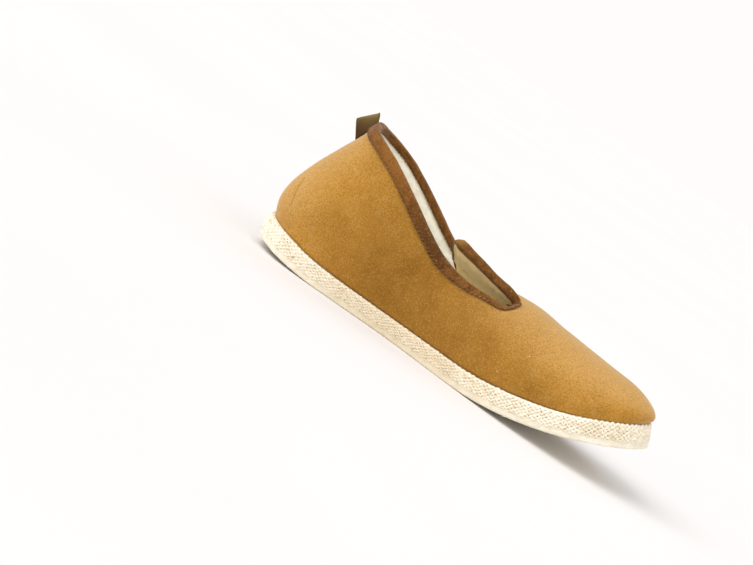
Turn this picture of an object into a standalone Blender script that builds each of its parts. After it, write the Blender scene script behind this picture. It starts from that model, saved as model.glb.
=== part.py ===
"""Suede house slipper for a left foot, with a felt outsole and a braided sole edge.

Sizes are in millimetres until a mesh is made. X runs from heel to toe, Y to the
wearer's left and Z up. The outer form is a fan of ribs: each rib rises from the edge
of the sole to a crown line, and the collar, the dips and the tongue are cut out of it.
"""

import math

import bmesh
import bpy
import numpy as np
from mathutils import Vector
from mathutils.bvhtree import BVHTree

MM = 0.001
GAP = 0.35
SHARP_ANGLE = math.radians(50)
BISECTIONS = 40
EDGE_REACH = 0.05
COLLAR_SHARES = (0.2, 0.98)

# Sole
HEEL_END = -7.9
TOE_END = 268.0
FELT_THICKNESS = 4.3
FELT_EDGE_RADIUS = 1.2
FELT_INSET = 0.6
TOE_SPRING = 32.4
TOE_SPRING_START = 150.0
TOE_SPRING_POWER = 1.8
HEEL_RISE = 6.3
HEEL_RISE_END = 52.0
HEEL_RISE_POWER = 1.8
BRAID_RIBS = 5
BRAID_DEPTH = 0.7
SOLE_STATIONS = 34

# Upper
WALL = 2.5
WALL_ROWS = 7
VAMP_ROWS = 4
HEEL_STATIONS = 15
DIP_STATIONS = 12
TOE_STATIONS = 13
TONGUE_TOP = 104.0
TONGUE_CORNER = 9.0
DIP_FRONT = 152.0
DIP_ROUND_LENGTH = 5.5
DIP_ROUND_RISE = 4.8
TONGUE_ROUND = 8.0
TONGUE_BASE = 20.0
OUTER_REACH = 0.87

# Collar binding
BINDING_THICKNESS = 1.2
BINDING_HEM = 0.7
BINDING_CAP = 1.7
BINDING_OUTER = 6.0
BINDING_INNER = 3.2
BINDING_GAP = 0.7
BINDING_STEPS = (0.12, 0.55, 1.0)
BINDING_TIP = 0.3
BINDING_TIP_LENGTH = 9.0
BINDING_CAP_ANGLES = (50, 90, 130)

# Insole
INSOLE_THICKNESS = 4.5
INSOLE_CLEARANCE = 0.9
INSOLE_EDGE_RADIUS = 1.5

# Pull loop
LOOP_WIDTH = 14.0
LOOP_LAYER = 0.8
LOOP_FOLD = 1.5
LOOP_HEIGHT_BACK = 12.5
LOOP_HEIGHT_FRONT = 6.5
LOOP_BASE_Z = 87.0
LOOP_LEAN = math.radians(25)
LOOP_CLEARANCE = 2.1
LOOP_SLIT = 0.2
LOOP_FOLD_ANGLES = (180, 150, 110, 70, 30, 0)
LOOP_SECTIONS = (0.0, 0.5, 1.0)

# Colours
FELT_COLOUR = (0.86, 0.80, 0.68)
CREAM_COLOUR = (0.82, 0.76, 0.62)
TAN_COLOUR = (0.49, 0.25, 0.06)
BROWN_COLOUR = (0.11, 0.045, 0.015)
RIBBON_COLOUR = (0.07, 0.045, 0.012)


class Table:
    """A short table of sizes, read between its rows by a smooth curve that never overshoots."""

    def __init__(self, columns, rows):
        data = np.array(rows, float)
        self.key = data[:, 0]
        self.columns = dict(zip(columns[1:], data[:, 1:].T))

    def at(self, column, key, power=1):
        x = self.key
        y = self.columns[column] ** power
        step = np.diff(x)
        slope = np.diff(y) / step
        tangent = np.zeros(len(x))
        tangent[0] = slope[0]
        tangent[-1] = slope[-1]
        for k in range(1, len(x) - 1):
            if slope[k - 1] * slope[k] > 0:
                before = 2 * step[k] + step[k - 1]
                after = step[k] + 2 * step[k - 1]
                tangent[k] = (before + after) / (before / slope[k - 1] + after / slope[k])
        key = min(max(key, x[0]), x[-1])
        k = min(int(np.searchsorted(x, key, side="right")) - 1, len(x) - 2)
        t = (key - x[k]) / step[k]
        start = y[k] * (2 * t**3 - 3 * t**2 + 1) + tangent[k] * step[k] * (t**3 - 2 * t**2 + t)
        end = y[k + 1] * (3 * t**2 - 2 * t**3) + tangent[k + 1] * step[k] * (t**3 - t**2)
        return float(start + end)


# Outline and thickness of the sole, and how far inside it the upper stands.
# The centre line bends to the inner side at the toe.
SOLE = Table(
    ("x", "centre", "half", "thick", "inset"),
    (
        (HEEL_END, 0.0, 0.0, 14.2, 3.0),
        (4, 0.0, 24.0, 14.4, 2.8),
        (16, 0.0, 30.8, 14.3, 2.4),
        (36, 0.3, 34.0, 13.2, 2.2),
        (95, 2.0, 35.0, 12.0, 2.2),
        (150, 3.0, 45.0, 12.9, 2.2),
        (188, 2.0, 49.0, 13.9, 2.2),
        (220, -0.5, 45.6, 13.9, 2.2),
        (245, -3.0, 36.2, 14.6, 2.0),
        (261, -4.5, 22.0, 14.7, 1.4),
        (TOE_END, -5.0, 0.0, 14.7, 1.2),
    ),
)

# Ribs of the upper: where each one's crown is, and how it bulges, rises and reaches over.
# Behind the tongue the crown is a ring above the collar, which cuts the ribs off below it.
RIBS = Table(
    ("x", "crown_x", "crown_half", "crown_z", "bulge", "rise", "reach", "drop"),
    (
        (HEEL_END, 26.0, 0.0, 125.0, 16.5, 0.27, 0.05, 0.33),
        (8, 29.5, 13.5, 127.0, 13.5, 0.30, 0.24, 0.33),
        (30, 42.5, 24.0, 132.0, 7.0, 0.33, 0.50, 0.33),
        (60, 66.0, 26.0, 136.0, 6.0, 0.33, 0.70, 0.33),
        (90, 92.0, 21.0, 118.0, 6.0, 0.35, 0.82, 0.28),
        (120, 121.0, 10.0, 88.0, 5.5, 0.45, 0.88, 0.16),
        (DIP_FRONT, DIP_FRONT, 0.0, 63.5, 4.5, 0.70, 0.86, 0.0),
        (165, 164.5, 0.0, 64.3, 4.5, 0.70, 0.81, 0.0),
        (178, 177.0, 0.0, 63.4, 4.5, 0.70, 0.76, 0.0),
        (208, 203.0, 0.0, 60.9, 4.5, 0.70, 0.66, 0.0),
        (236, 223.0, 0.0, 59.6, 4.5, 0.70, 0.60, 0.0),
        (255, 232.0, 0.0, 59.2, 5.5, 0.63, 0.53, 0.0),
        (TOE_END, 236.0, 0.0, 59.0, 7.2, 0.52, 0.44, 0.0),
    ),
)

# Finished edge of the collar from the heel to the round front of the dips. The outer dip is lower.
COLLAR = Table(
    ("x", "z", "outer_drop"),
    (
        (19, 102.8, 0.0),
        (32, 98.8, 0.0),
        (46, 93.4, 0.0),
        (61, 85.3, 0.0),
        (76, 76.6, 0.0),
        (90, 68.1, 0.0),
        (105, 60.9, 0.0),
        (118, 57.9, 0.2),
        (128, 57.3, 0.7),
        (140, 57.9, 1.9),
        (DIP_FRONT - DIP_ROUND_LENGTH, 58.5, 2.8),
    ),
)

# Tongue: it is twisted, so that its inner edge stands up and its outer one is tucked in
TONGUE = Table(
    ("x", "ridge_z", "half", "roll", "sag"),
    (
        (TONGUE_TOP, 62.5, 27.0, 18.5, 3.8),
        (120, 60.7, 27.0, 16.2, 3.1),
        (136, 61.0, 27.0, 12.0, 1.3),
        (144, 62.4, 24.8, 9.0, 0.7),
        (DIP_FRONT, 63.5, 20.6, 4.2, 0.2),
    ),
)


def spread(start, end, count):
    """Places between two ends, closer together near both, without the last one."""
    return [start + (end - start) * (1 - math.cos(math.pi * k / count)) / 2 for k in range(count)]


def smooth_step(value):
    value = min(max(value, 0.0), 1.0)
    return value * value * (3 - 2 * value)


def unit(vector):
    return vector / np.linalg.norm(vector)


def floor_line(x):
    """Height of the sole's underside above the floor."""
    heel = max(0.0, (HEEL_RISE_END - x) / (HEEL_RISE_END - HEEL_END))
    toe = max(0.0, (x - TOE_SPRING_START) / (TOE_END - TOE_SPRING_START))
    return HEEL_RISE * heel**HEEL_RISE_POWER + TOE_SPRING * toe**TOE_SPRING_POWER


def toe_slope(x):
    """Angle of the underside in the toe spring."""
    run = TOE_END - TOE_SPRING_START
    toe = max(0.0, (x - TOE_SPRING_START) / run)
    return math.atan(TOE_SPRING * TOE_SPRING_POWER / run * toe ** (TOE_SPRING_POWER - 1))


def sole_point(x, y, height):
    """A point of the sole at a height above its underside, square to the toe spring."""
    angle = toe_slope(x)
    return np.array((x - height * math.sin(angle), y, floor_line(x) + height * math.cos(angle)))


def edge(x, side):
    """Outline point of the sole on one side, -1 inner or 1 outer."""
    half = math.sqrt(max(0.0, SOLE.at("half", x, power=2)))
    return np.array((x, SOLE.at("centre", x) + side * half))


def edge_normal(x, side):
    """Direction square to the outline, away from the sole."""
    if x <= HEEL_END:
        return np.array((-1.0, 0.0))
    if x >= TOE_END:
        return np.array((1.0, 0.0))
    reach = min(EDGE_REACH, (x - HEEL_END) / 2, (TOE_END - x) / 2)
    along = unit(edge(x + reach, side) - edge(x - reach, side))
    return side * np.array((-along[1], along[0]))


def inset_edge(x, side, inset):
    return edge(x, side) - inset * edge_normal(x, side)


def bezier(points, t):
    a, b, c, d = points
    s = 1 - t
    return s**3 * a + 3 * s * s * t * b + 3 * s * t * t * c + t**3 * d


def rib_points(x, side, over_tongue=False):
    """Control points of a rib. Over the tongue it ends on the real ridge, else on the crown."""
    foot_x, foot_y = inset_edge(x, side, SOLE.at("inset", x))
    foot = sole_point(foot_x, foot_y, SOLE.at("thick", foot_x) + GAP)
    out = np.append(edge_normal(x, side), 0.0)
    row = DIP_FRONT if over_tongue else x
    crown_x = x if over_tongue else RIBS.at("crown_x", x)
    crown_z = TONGUE.at("ridge_z", x) if over_tongue else RIBS.at("crown_z", x)
    crown_y = SOLE.at("centre", crown_x) + side * RIBS.at("crown_half", row)
    crown = np.array((crown_x, crown_y, crown_z))
    height = crown[2] - foot[2]
    across = (foot - crown) * (1, 1, 0)
    up = np.array((0.0, 0.0, height))
    lower = foot + RIBS.at("bulge", row) * out + RIBS.at("rise", row) * up
    reach = RIBS.at("reach", row)
    if side > 0:
        reach *= 1 + (OUTER_REACH - 1) * smooth_step((x - TONGUE_TOP) / (DIP_FRONT - TONGUE_TOP))
    upper = crown + reach * across - RIBS.at("drop", row) * up
    return foot, lower, upper, crown


def collar_height(x, side):
    """Finished height of the collar; the front of each dip is a quarter of an ellipse."""
    run = min(max(0.0, 1 - (DIP_FRONT - x) / DIP_ROUND_LENGTH), 1.0)
    height = COLLAR.at("z", x) + DIP_ROUND_RISE * (1 - math.sqrt(1 - run * run))
    return height - COLLAR.at("outer_drop", x) if side > 0 else height


def bisect(is_low, low, high):
    """The place between two others where a test turns false."""
    for _ in range(BISECTIONS):
        middle = (low + high) / 2
        if is_low(middle):
            low = middle
        else:
            high = middle
    return (low + high) / 2


def collar_cut(points, side):
    """Where a rib meets the collar, a binding's cap below its finished edge."""

    def is_low(share):
        place = bezier(points, share)
        return place[2] < collar_height(place[0], side) - BINDING_CAP

    return bisect(is_low, *COLLAR_SHARES)


def tongue_half(x):
    """Half width of the tongue, with its two top corners rounded."""
    corner = max(0.0, (TONGUE_TOP + TONGUE_CORNER - x) / TONGUE_CORNER)
    return TONGUE.at("half", x) - TONGUE_CORNER * (1 - math.sqrt(max(0.0, 1 - corner * corner)))


def tongue_point(x, side, share, start):
    """A point of the tongue: share 0 is its edge and 1 its ridge."""
    across = side * (1 - share)
    half = tongue_half(x)
    roll = math.radians(TONGUE.at("roll", x))
    flat = np.array((
        x,
        SOLE.at("centre", x) + across * half * math.cos(roll),
        TONGUE.at("ridge_z", x) + TONGUE.at("sag", x) * across**2 - across * half * math.sin(roll),
    ))
    vamp = bezier(rib_points(x, side, over_tongue=True), start + (1 - start) * share)
    bend = smooth_step((DIP_FRONT - x) / TONGUE_BASE)
    run = min(1.0, (DIP_FRONT - x) / TONGUE_ROUND)
    round_end = math.sqrt(1 - (1 - run) ** 2)
    weight = bend + (round_end - bend) * abs(across) ** 3
    return vamp + weight * (flat - vamp)


class Surface:
    """Outer face of the upper as a grid of shared points, with its dips and its tongue."""

    def __init__(self):
        self.stations = (
            spread(HEEL_END, TONGUE_TOP, HEEL_STATIONS)
            + spread(TONGUE_TOP, DIP_FRONT, DIP_STATIONS)
            + spread(DIP_FRONT, TOE_END, TOE_STATIONS)
            + [TOE_END]
        )
        self.top = HEEL_STATIONS
        self.front = HEEL_STATIONS + DIP_STATIONS
        self.toe = len(self.stations) - 1
        self.index = {}
        self.points = []
        self.faces = []
        self.start = {side: collar_cut(rib_points(DIP_FRONT, side), side) for side in (-1, 1)}
        for side in (-1, 1):
            self.add_side(side)
        self.points = np.array(self.points)
        self.normals = self.find_normals()

    def key(self, block, side, station, row):
        if block == "vamp" and row == 0 and station >= self.front:
            block, row = "wall", WALL_ROWS
        on_centre = station in (0, self.toe) or (block == "vamp" and row == VAMP_ROWS)
        return (block, 0 if on_centre else side, station, row)

    def place(self, key, point):
        if key not in self.index:
            self.index[key] = len(self.points)
            self.points.append(point)

    def add_side(self, side):
        for station, x in enumerate(self.stations):
            points = rib_points(x, side)
            start = self.start[side]
            end = start if station >= self.front else collar_cut(points, side)
            for row in range(WALL_ROWS + 1):
                self.place(self.key("wall", side, station, row), bezier(points, end * row / WALL_ROWS))
            if station < self.top:
                continue
            for row in range(VAMP_ROWS + 1):
                share = row / VAMP_ROWS
                if station < self.front:
                    point = tongue_point(x, side, share, start)
                else:
                    point = bezier(points, start + (1 - start) * share)
                self.place(self.key("vamp", side, station, row), point)
        for station in range(self.toe):
            self.add_faces("wall", side, station, WALL_ROWS)
            if station >= self.top:
                self.add_faces("vamp", side, station, VAMP_ROWS)

    def add_faces(self, block, side, station, rows):
        for row in range(rows):
            corners = ((station, row), (station + 1, row), (station + 1, row + 1), (station, row + 1))
            a, b, c, d = (self.index[self.key(block, side, *corner)] for corner in corners)
            self.faces += [[a, c, b], [a, d, c]] if side > 0 else [[a, b, c], [a, c, d]]

    def find_normals(self):
        normals = np.zeros_like(self.points)
        for face in self.faces:
            a, b, c = self.points[face]
            normals[face] += np.cross(b - a, c - a)
        return normals / np.linalg.norm(normals, axis=1)[:, None]

    def at(self, block, side, station, row):
        return self.index[self.key(block, side, station, row)]

    def inner_points(self):
        """Points of the lining side, a wall inwards; its foot stays on the sole."""
        inner = self.points - WALL * self.normals
        for side in (-1, 1):
            for station, x in enumerate(self.stations):
                foot_x, foot_y = inset_edge(x, side, SOLE.at("inset", x) + WALL)
                height = SOLE.at("thick", foot_x) + GAP
                inner[self.at("wall", side, station, 0)] = sole_point(foot_x, foot_y, height)
        return inner

    def collar_loop(self):
        """The collar's edge once round: each point with a neighbour that lies inwards of it."""
        near = [("wall", -1, i, WALL_ROWS) for i in range(self.front + 1)]
        near += [("vamp", -1, i, 0) for i in range(self.front - 1, self.top - 1, -1)]
        top = [("vamp", -1, self.top, row) for row in range(1, VAMP_ROWS + 1)]
        top += [("vamp", 1, self.top, row) for row in range(VAMP_ROWS - 1, -1, -1)]
        far = [("vamp", 1, i, 0) for i in range(self.top + 1, self.front)]
        far += [("wall", 1, i, WALL_ROWS) for i in range(self.front, 0, -1)]
        loop = []
        for block, side, station, row in near + top + far:
            if block == "wall" and station < self.front:
                inward = (block, side, station, row - 1)
            elif block == "wall" or station == self.top:
                inward = (block, side, station + 1, row)
            else:
                inward = (block, side, station, row + 1)
            loop.append((self.at(block, side, station, row), self.at(*inward)))
        return loop


def make_upper(surface):
    """The wall of the upper: outer face, lining face and the strips that join their edges."""
    count = len(surface.points)
    points = np.vstack((surface.points, surface.inner_points()))
    faces = [list(face) for face in surface.faces]
    faces += [[corner + count for corner in reversed(face)] for face in surface.faces]
    used = {}
    for face in surface.faces:
        for a, b in zip(face, face[1:] + face[:1]):
            used[(a, b)] = True
    for a, b in used:
        if (b, a) not in used:
            faces.append([b, a, a + count, b + count])
    return points, faces


def nearest(tree, place, reference):
    """Closest point of a face, with its direction turned to the same side as a reference."""
    location, normal, _, _ = tree.find_nearest(Vector(place))
    normal = np.array(normal)
    if normal @ reference < 0:
        normal = -normal
    return np.array(location), unit(normal + reference)


def make_binding(surface):
    """Folded tape over the collar: a leg outside, a rounded cap and a leg inside.

    The inner leg is cut narrow at the front of the dips, where the tape turns sharply.
    """
    inner = surface.inner_points()
    outer_tree = BVHTree.FromPolygons(surface.points.tolist(), surface.faces)
    inner_tree = BVHTree.FromPolygons(inner.tolist(), surface.faces)
    loop = surface.collar_loop()
    count = len(loop)
    centres = np.array([(surface.points[i] + inner[i]) / 2 for i, _ in loop])
    radius = WALL / 2 + BINDING_GAP + BINDING_THICKNESS
    sections = []
    for k, (i, inward) in enumerate(loop):
        along = unit(centres[(k + 1) % count] - centres[k - 1])
        out = surface.normals[i] - (surface.normals[i] @ along) * along
        out = unit(out)
        into = np.cross(out, along)
        if into @ (surface.points[inward] - surface.points[i]) < 0:
            into = -into
        taper = smooth_step((DIP_FRONT - surface.points[i][0]) / BINDING_TIP_LENGTH)
        inner_width = BINDING_INNER * (BINDING_TIP + (1 - BINDING_TIP) * taper)
        legs = {}
        for name, tree, start, sign, width in (
            ("outer", outer_tree, surface.points[i], 1, BINDING_OUTER),
            ("inner", inner_tree, inner[i], -1, inner_width),
        ):
            for depth in BINDING_STEPS:
                place, normal = nearest(tree, start + depth * width * into, sign * out)
                legs[name, depth, "under"] = place + BINDING_GAP * normal
                thickness = BINDING_THICKNESS if depth < 1 else BINDING_HEM
                legs[name, depth, "over"] = place + (BINDING_GAP + thickness) * normal
        section = [legs["outer", depth, "over"] for depth in reversed(BINDING_STEPS)]
        for angle in BINDING_CAP_ANGLES:
            turn = math.radians(angle)
            section.append(centres[k] + radius * math.cos(turn) * out - BINDING_CAP * math.sin(turn) * into)
        section += [legs["inner", depth, "over"] for depth in BINDING_STEPS]
        section += [legs["inner", depth, "under"] for depth in reversed(BINDING_STEPS[1:])]
        section.append(inner[i] - BINDING_GAP * out - GAP * into)
        section.append(surface.points[i] + BINDING_GAP * out - GAP * into)
        section += [legs["outer", depth, "under"] for depth in BINDING_STEPS[1:]]
        sections.append(section)
    return bridge_sections(sections, closed=True)


def bridge_sections(sections, closed=False):
    """Joins rings of points, each to the next; open rows of rings get a cap at each end."""
    size = len(sections[0])
    points = np.array([point for section in sections for point in section])
    faces = []
    last = len(sections) if closed else len(sections) - 1
    for k in range(last):
        first = k * size
        second = (k + 1) % len(sections) * size
        for row in range(size):
            after = (row + 1) % size
            faces.append([first + row, first + after, second + after, second + row])
    if not closed:
        faces.append(list(range(size))[::-1])
        faces.append([(len(sections) - 1) * size + row for row in range(size)])
    return points, faces


def make_slab(profile, follows_upper=False):
    """A layer of the sole: a ring of its outline for each row, and two ladders of faces.

    A row's height is a share of the sole's thickness and an offset, and then comes its inset,
    from the sole's outline or from the inside of the upper.
    """
    stations = spread(HEEL_END, TOE_END, SOLE_STATIONS) + [TOE_END]
    ring = [(x, -1) for x in stations] + [(x, 1) for x in stations[-2:0:-1]]
    size = len(ring)
    points = []
    for share, offset, inset in profile:
        for x, side in ring:
            wall = SOLE.at("inset", x) + WALL if follows_upper else 0.0
            place = inset_edge(x, side, inset + wall)
            points.append(sole_point(*place, share * SOLE.at("thick", place[0]) + offset))
    faces = []
    for level in range(len(profile) - 1):
        for k in range(size):
            after = (k + 1) % size
            low = level * size
            faces.append([low + k, low + after, low + size + after, low + size + k])
    for first in (0, (len(profile) - 1) * size):
        for k in range(SOLE_STATIONS):
            ladder = [k, k + 1, (size - k - 1) % size, (size - k) % size]
            faces.append([first + corner for corner in dict.fromkeys(ladder)])
    return np.array(points), faces


def rounded_profile(share, bottom, top, inset, radius):
    """Side of a layer with a quarter round at its upper and lower edge."""
    soft = radius * (1 - math.sqrt(0.5))
    return [
        (share, bottom, inset + radius),
        (share, bottom + soft, inset + soft),
        (share, bottom + radius, inset),
        (share, top - radius, inset),
        (share, top - soft, inset + soft),
        (share, top, inset + radius),
    ]


def make_outsole():
    return make_slab(rounded_profile(0, 0, FELT_THICKNESS, FELT_INSET, FELT_EDGE_RADIUS))


def make_midsole():
    """Braided band: its side has one low ridge for each turn of cord."""
    bottom = FELT_THICKNESS + GAP
    profile = []
    for turn in range(2 * BRAID_RIBS + 1):
        share = turn / (2 * BRAID_RIBS)
        inset = 0.0 if turn % 2 else BRAID_DEPTH
        profile.append((share, bottom * (1 - share), inset))
    return make_slab(profile)


def make_insole():
    top = GAP + INSOLE_THICKNESS
    profile = rounded_profile(1, GAP, top, INSOLE_CLEARANCE, INSOLE_EDGE_RADIUS)
    return make_slab(profile, follows_upper=True)


def heel_line(z):
    """Outer line of the upper at the centre back, at a height."""
    points = rib_points(HEEL_END, 1)
    return bezier(points, bisect(lambda share: bezier(points, share)[2] < z, 0.0, 1.0))


def make_pull_loop():
    """Ribbon folded in two and set in the centre back seam, leaning backwards."""
    sections = []
    across = np.array((0.0, 1.0, 0.0))
    rise = np.array((-math.sin(LOOP_LEAN), 0.0, math.cos(LOOP_LEAN)))
    slope = unit(heel_line(LOOP_BASE_Z + LOOP_WIDTH) - heel_line(LOOP_BASE_Z))
    out = np.array((-slope[2], 0.0, slope[0]))
    for share in LOOP_SECTIONS:
        base = heel_line(LOOP_BASE_Z + share * LOOP_WIDTH) + LOOP_CLEARANCE * out
        height = LOOP_HEIGHT_BACK + share * (LOOP_HEIGHT_FRONT - LOOP_HEIGHT_BACK)
        centre = base + (height - LOOP_FOLD - LOOP_LAYER) * rise
        section = []
        for radius, order in ((LOOP_FOLD + LOOP_LAYER, 1), (LOOP_FOLD, -1)):
            leg = across * (radius - LOOP_FOLD + LOOP_SLIT)
            path = [base - leg]
            for angle in LOOP_FOLD_ANGLES:
                turn = math.radians(angle)
                path.append(centre + radius * (math.sin(turn) * rise + math.cos(turn) * across))
            path.append(base + leg)
            section += path[::order]
        sections.append(section)
    return bridge_sections(sections)


def make_material(name, colour, roughness):
    material = bpy.data.materials.new(name)
    material.use_nodes = True
    shader = material.node_tree.nodes["Principled BSDF"]
    shader.inputs["Base Color"].default_value = (*colour, 1.0)
    shader.inputs["Roughness"].default_value = roughness
    shader.inputs["Metallic"].default_value = 0.0
    material.diffuse_color = (*colour, 1.0)
    return material


def add_object(name, points, faces, origin, material):
    """One closed piece, in metres, with its faces pointing out."""
    mesh = bpy.data.meshes.new(name)
    mesh.from_pydata(((points - origin) * MM).tolist(), [], faces)
    form = bmesh.new()
    form.from_mesh(mesh)
    bmesh.ops.triangulate(form, faces=form.faces[:])
    bmesh.ops.recalc_face_normals(form, faces=form.faces[:])
    form.to_mesh(mesh)
    form.free()
    mesh.shade_smooth()
    mesh.set_sharp_from_angle(angle=SHARP_ANGLE)
    mesh.materials.append(material)
    piece = bpy.data.objects.new(name, mesh)
    bpy.context.scene.collection.objects.link(piece)


def main():
    for old in list(bpy.data.objects):
        bpy.data.objects.remove(old)
    surface = Surface()
    pieces = (
        ("outsole", make_outsole(), FELT_COLOUR, 0.95),
        ("midsole", make_midsole(), CREAM_COLOUR, 0.9),
        ("upper", make_upper(surface), TAN_COLOUR, 0.9),
        ("collar_binding", make_binding(surface), BROWN_COLOUR, 0.85),
        ("insole", make_insole(), CREAM_COLOUR, 0.95),
        ("pull_loop", make_pull_loop(), RIBBON_COLOUR, 0.8),
    )
    every = np.vstack([form[0] for _, form, _, _ in pieces])
    low = every.min(axis=0)
    high = every.max(axis=0)
    origin = np.array(((low[0] + high[0]) / 2, (low[1] + high[1]) / 2, low[2]))
    for name, (points, faces), colour, roughness in pieces:
        add_object(name, points, faces, origin, make_material(name, colour, roughness))


main()
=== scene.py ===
"""Looks of a suede house slipper with a braided sole edge, laid out as a Blender add-on.

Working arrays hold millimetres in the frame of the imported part: X runs from heel to toe,
Y to the wearer's left and Z up from the floor.
"""

import functools
import math

import bpy
import numpy as np
from bpy.props import FloatProperty, FloatVectorProperty, IntProperty, PointerProperty
from mathutils import Euler, Matrix, Vector, noise
from mathutils.bvhtree import BVHTree
from mathutils.kdtree import KDTree


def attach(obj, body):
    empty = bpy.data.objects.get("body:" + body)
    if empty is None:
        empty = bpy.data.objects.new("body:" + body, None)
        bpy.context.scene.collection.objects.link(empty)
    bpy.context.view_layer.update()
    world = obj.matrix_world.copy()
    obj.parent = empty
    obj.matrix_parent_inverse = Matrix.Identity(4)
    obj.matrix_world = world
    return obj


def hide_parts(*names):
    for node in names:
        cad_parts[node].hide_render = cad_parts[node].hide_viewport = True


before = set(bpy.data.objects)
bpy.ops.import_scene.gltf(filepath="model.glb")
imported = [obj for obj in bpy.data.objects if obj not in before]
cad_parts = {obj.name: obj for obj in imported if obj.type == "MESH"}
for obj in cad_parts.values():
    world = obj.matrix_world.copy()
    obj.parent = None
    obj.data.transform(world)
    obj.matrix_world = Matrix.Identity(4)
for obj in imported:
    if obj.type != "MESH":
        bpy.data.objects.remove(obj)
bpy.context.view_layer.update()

bl_info = {
    "name": "Suede house slipper",
    "version": (1, 0, 0),
    "blender": (4, 5, 0),
    "location": "View3D > Sidebar > Slipper",
    "description": "Dresses the packed slipper with suede, tape, fleece, braid and felt",
    "category": "Object",
}

MM = 0.001
BODY = "root"
# Faces that meet at a sharper angle are different sides of the upper's wall
FOLD_ANGLE = math.radians(65)
# Faces that meet at a sharper angle are different sides of a layer of the sole
FLAT_ANGLE = math.radians(14)
# Points of the upper that are nearer to the sole, in millimetres, belong to its foot
FOOT_GAP = 0.6
# Metres from band to band of the wave texture at a scale of one
WAVE_PERIOD = 0.314
# Pixels of the picture that the camera is set from
PHOTO_WIDTH = 753
PHOTO_HEIGHT = 565


def length(name, description, default):
    """A size in metres that a user can change, given in millimetres."""
    return FloatProperty(
        name=name, description=description, default=default * MM, unit="LENGTH", precision=5
    )


def degrees(name, description, default):
    """An angle that a user can change, given in degrees."""
    return FloatProperty(name=name, description=description, default=math.radians(default), subtype="ANGLE")


def amount(name, description, default):
    """A number of like things that a user can change."""
    return IntProperty(name=name, description=description, default=default, min=1, subtype="UNSIGNED")


def colour(name, description, default):
    """A colour that a user can change, given as it looks on a screen, from 0 to 255."""
    linear = [((value / 255 + 0.055) / 1.055) ** 2.4 for value in default]
    return FloatVectorProperty(
        name=name, description=description, default=linear, subtype="COLOR", size=3, min=0.0, max=1.0
    )


class SuedeSettings(bpy.types.PropertyGroup):
    wall: length("Wall", "Thickness of the suede with its backing", 2.3)
    nap_light: colour("Light nap", "Nap brushed one way", (188, 137, 56))
    nap_dark: colour("Dark nap", "Nap brushed the other way", (178, 127, 48))
    # Painted light: paler nap on the faces that look up and back, towards the light from above
    nap_lit: colour("Faded nap", "Nap faded on the faces that look up and back", (187, 144, 80))
    # Darker nap for smudges of dirt and for painted shade over the middle and lower sides
    smudge_and_shade: colour("Rubbed nap", "Nap in the darker places", (122, 78, 8))
    nap_size: length("Nap", "Distance between tufts of the nap", 0.9)
    unevenness: length("Unevenness", "How far the soft wall waves in and out", 0.35)


class BindingSettings(bpy.types.PropertyGroup):
    outer_width: length("Outer width", "Width of the tape outside the collar", 5.8)
    inner_width: length("Inner width", "Width of the tape inside the collar", 3.2)
    wall: length("Wall", "Thickness of the upper between the two legs of the tape", 2.5)
    tape: length("Tape", "Thickness of the tape", 1.25)
    gap: length("Gap", "Room between the tape and the upper", 0.5)
    cap: length("Cap", "Height of the rounded edge above the upper", 1.7)
    stitch: length("Stitch", "Length of one stitch of the hem", 2.6)
    thread: length("Thread", "Diameter of the hem's thread", 0.55)
    nap: colour("Nap", "Brown suede of the tape", (122, 79, 29))
    shade: colour("Shade", "Hollows of the brown nap", (90, 53, 14))
    fuzz: colour("Fuzz", "Pale tips of the brown nap", (152, 110, 72))
    # Painted light on the tape at the tongue's corner
    lit: colour("Lit", "Lighter tape at the tongue's corner", (138, 100, 34))
    # Painted highlights on the thread in the inner dip
    thread_highlight: colour("Light thread", "Thread where it is rubbed pale", (146, 106, 68))


class FleeceSettings(bpy.types.PropertyGroup):
    pile: length("Pile", "Height of the fleece over the wall", 2.2)
    curl: length("Curl", "Size of a curl of the fleece", 4.0)
    hem: length("Hem", "How far below the collar the fleece comes out of the tape", 4.6)
    light: colour("Light", "Tips of the fleece", (255, 252, 238))
    shade: colour("Shade", "Roots of the fleece", (248, 240, 216))
    # Painted warm shade on the fleece under the tongue
    tongue_shade: colour("Khaki", "Cloth under the tongue", (255, 228, 164))


class BraidSettings(bpy.types.PropertyGroup):
    yarns: amount("Yarns", "Yarns of the flat braid", 8)
    slope: FloatProperty(
        name="Slope", description="Rise of a yarn for each length along the band",
        default=0.65, subtype="FACTOR",
    )
    yarn: length("Yarn", "Diameter of a yarn", 1.9)
    depth: length("Depth", "How far a yarn goes over and under the next", 0.5)
    ply: length("Ply", "Length of one turn of the two plies of a yarn", 3.6)
    overlap: length("Overlap", "How far the braid comes down over the felt", 1.7)
    light: colour("Light", "Cream cotton of the yarn", (252, 245, 228))
    fleck: colour("Fleck", "Beige fibres spun into the yarn", (226, 210, 178))
    speck: colour("Speck", "Dark bits of straw in the yarn", (146, 122, 88))
    # Darker, duller yarn and felt at the middle of both sides
    waist_tint: colour("Dull", "Duller yarn and felt at the waist", (212, 192, 154))


class FeltSettings(bpy.types.PropertyGroup):
    round: length("Round", "Radius of the felt's worn edges", 1.2)
    top_round: length("Top round", "Radius of the felt's edge under the cord", 0.4)
    fibres: amount("Fibres", "Loose fibres along the edge", 420)
    fibre: length("Fibre", "Length of a loose fibre", 3.2)
    light: colour("Light", "Pressed cream wool", (248, 241, 222))
    shade: colour("Shade", "Thinner places in the felt", (236, 226, 202))


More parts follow.
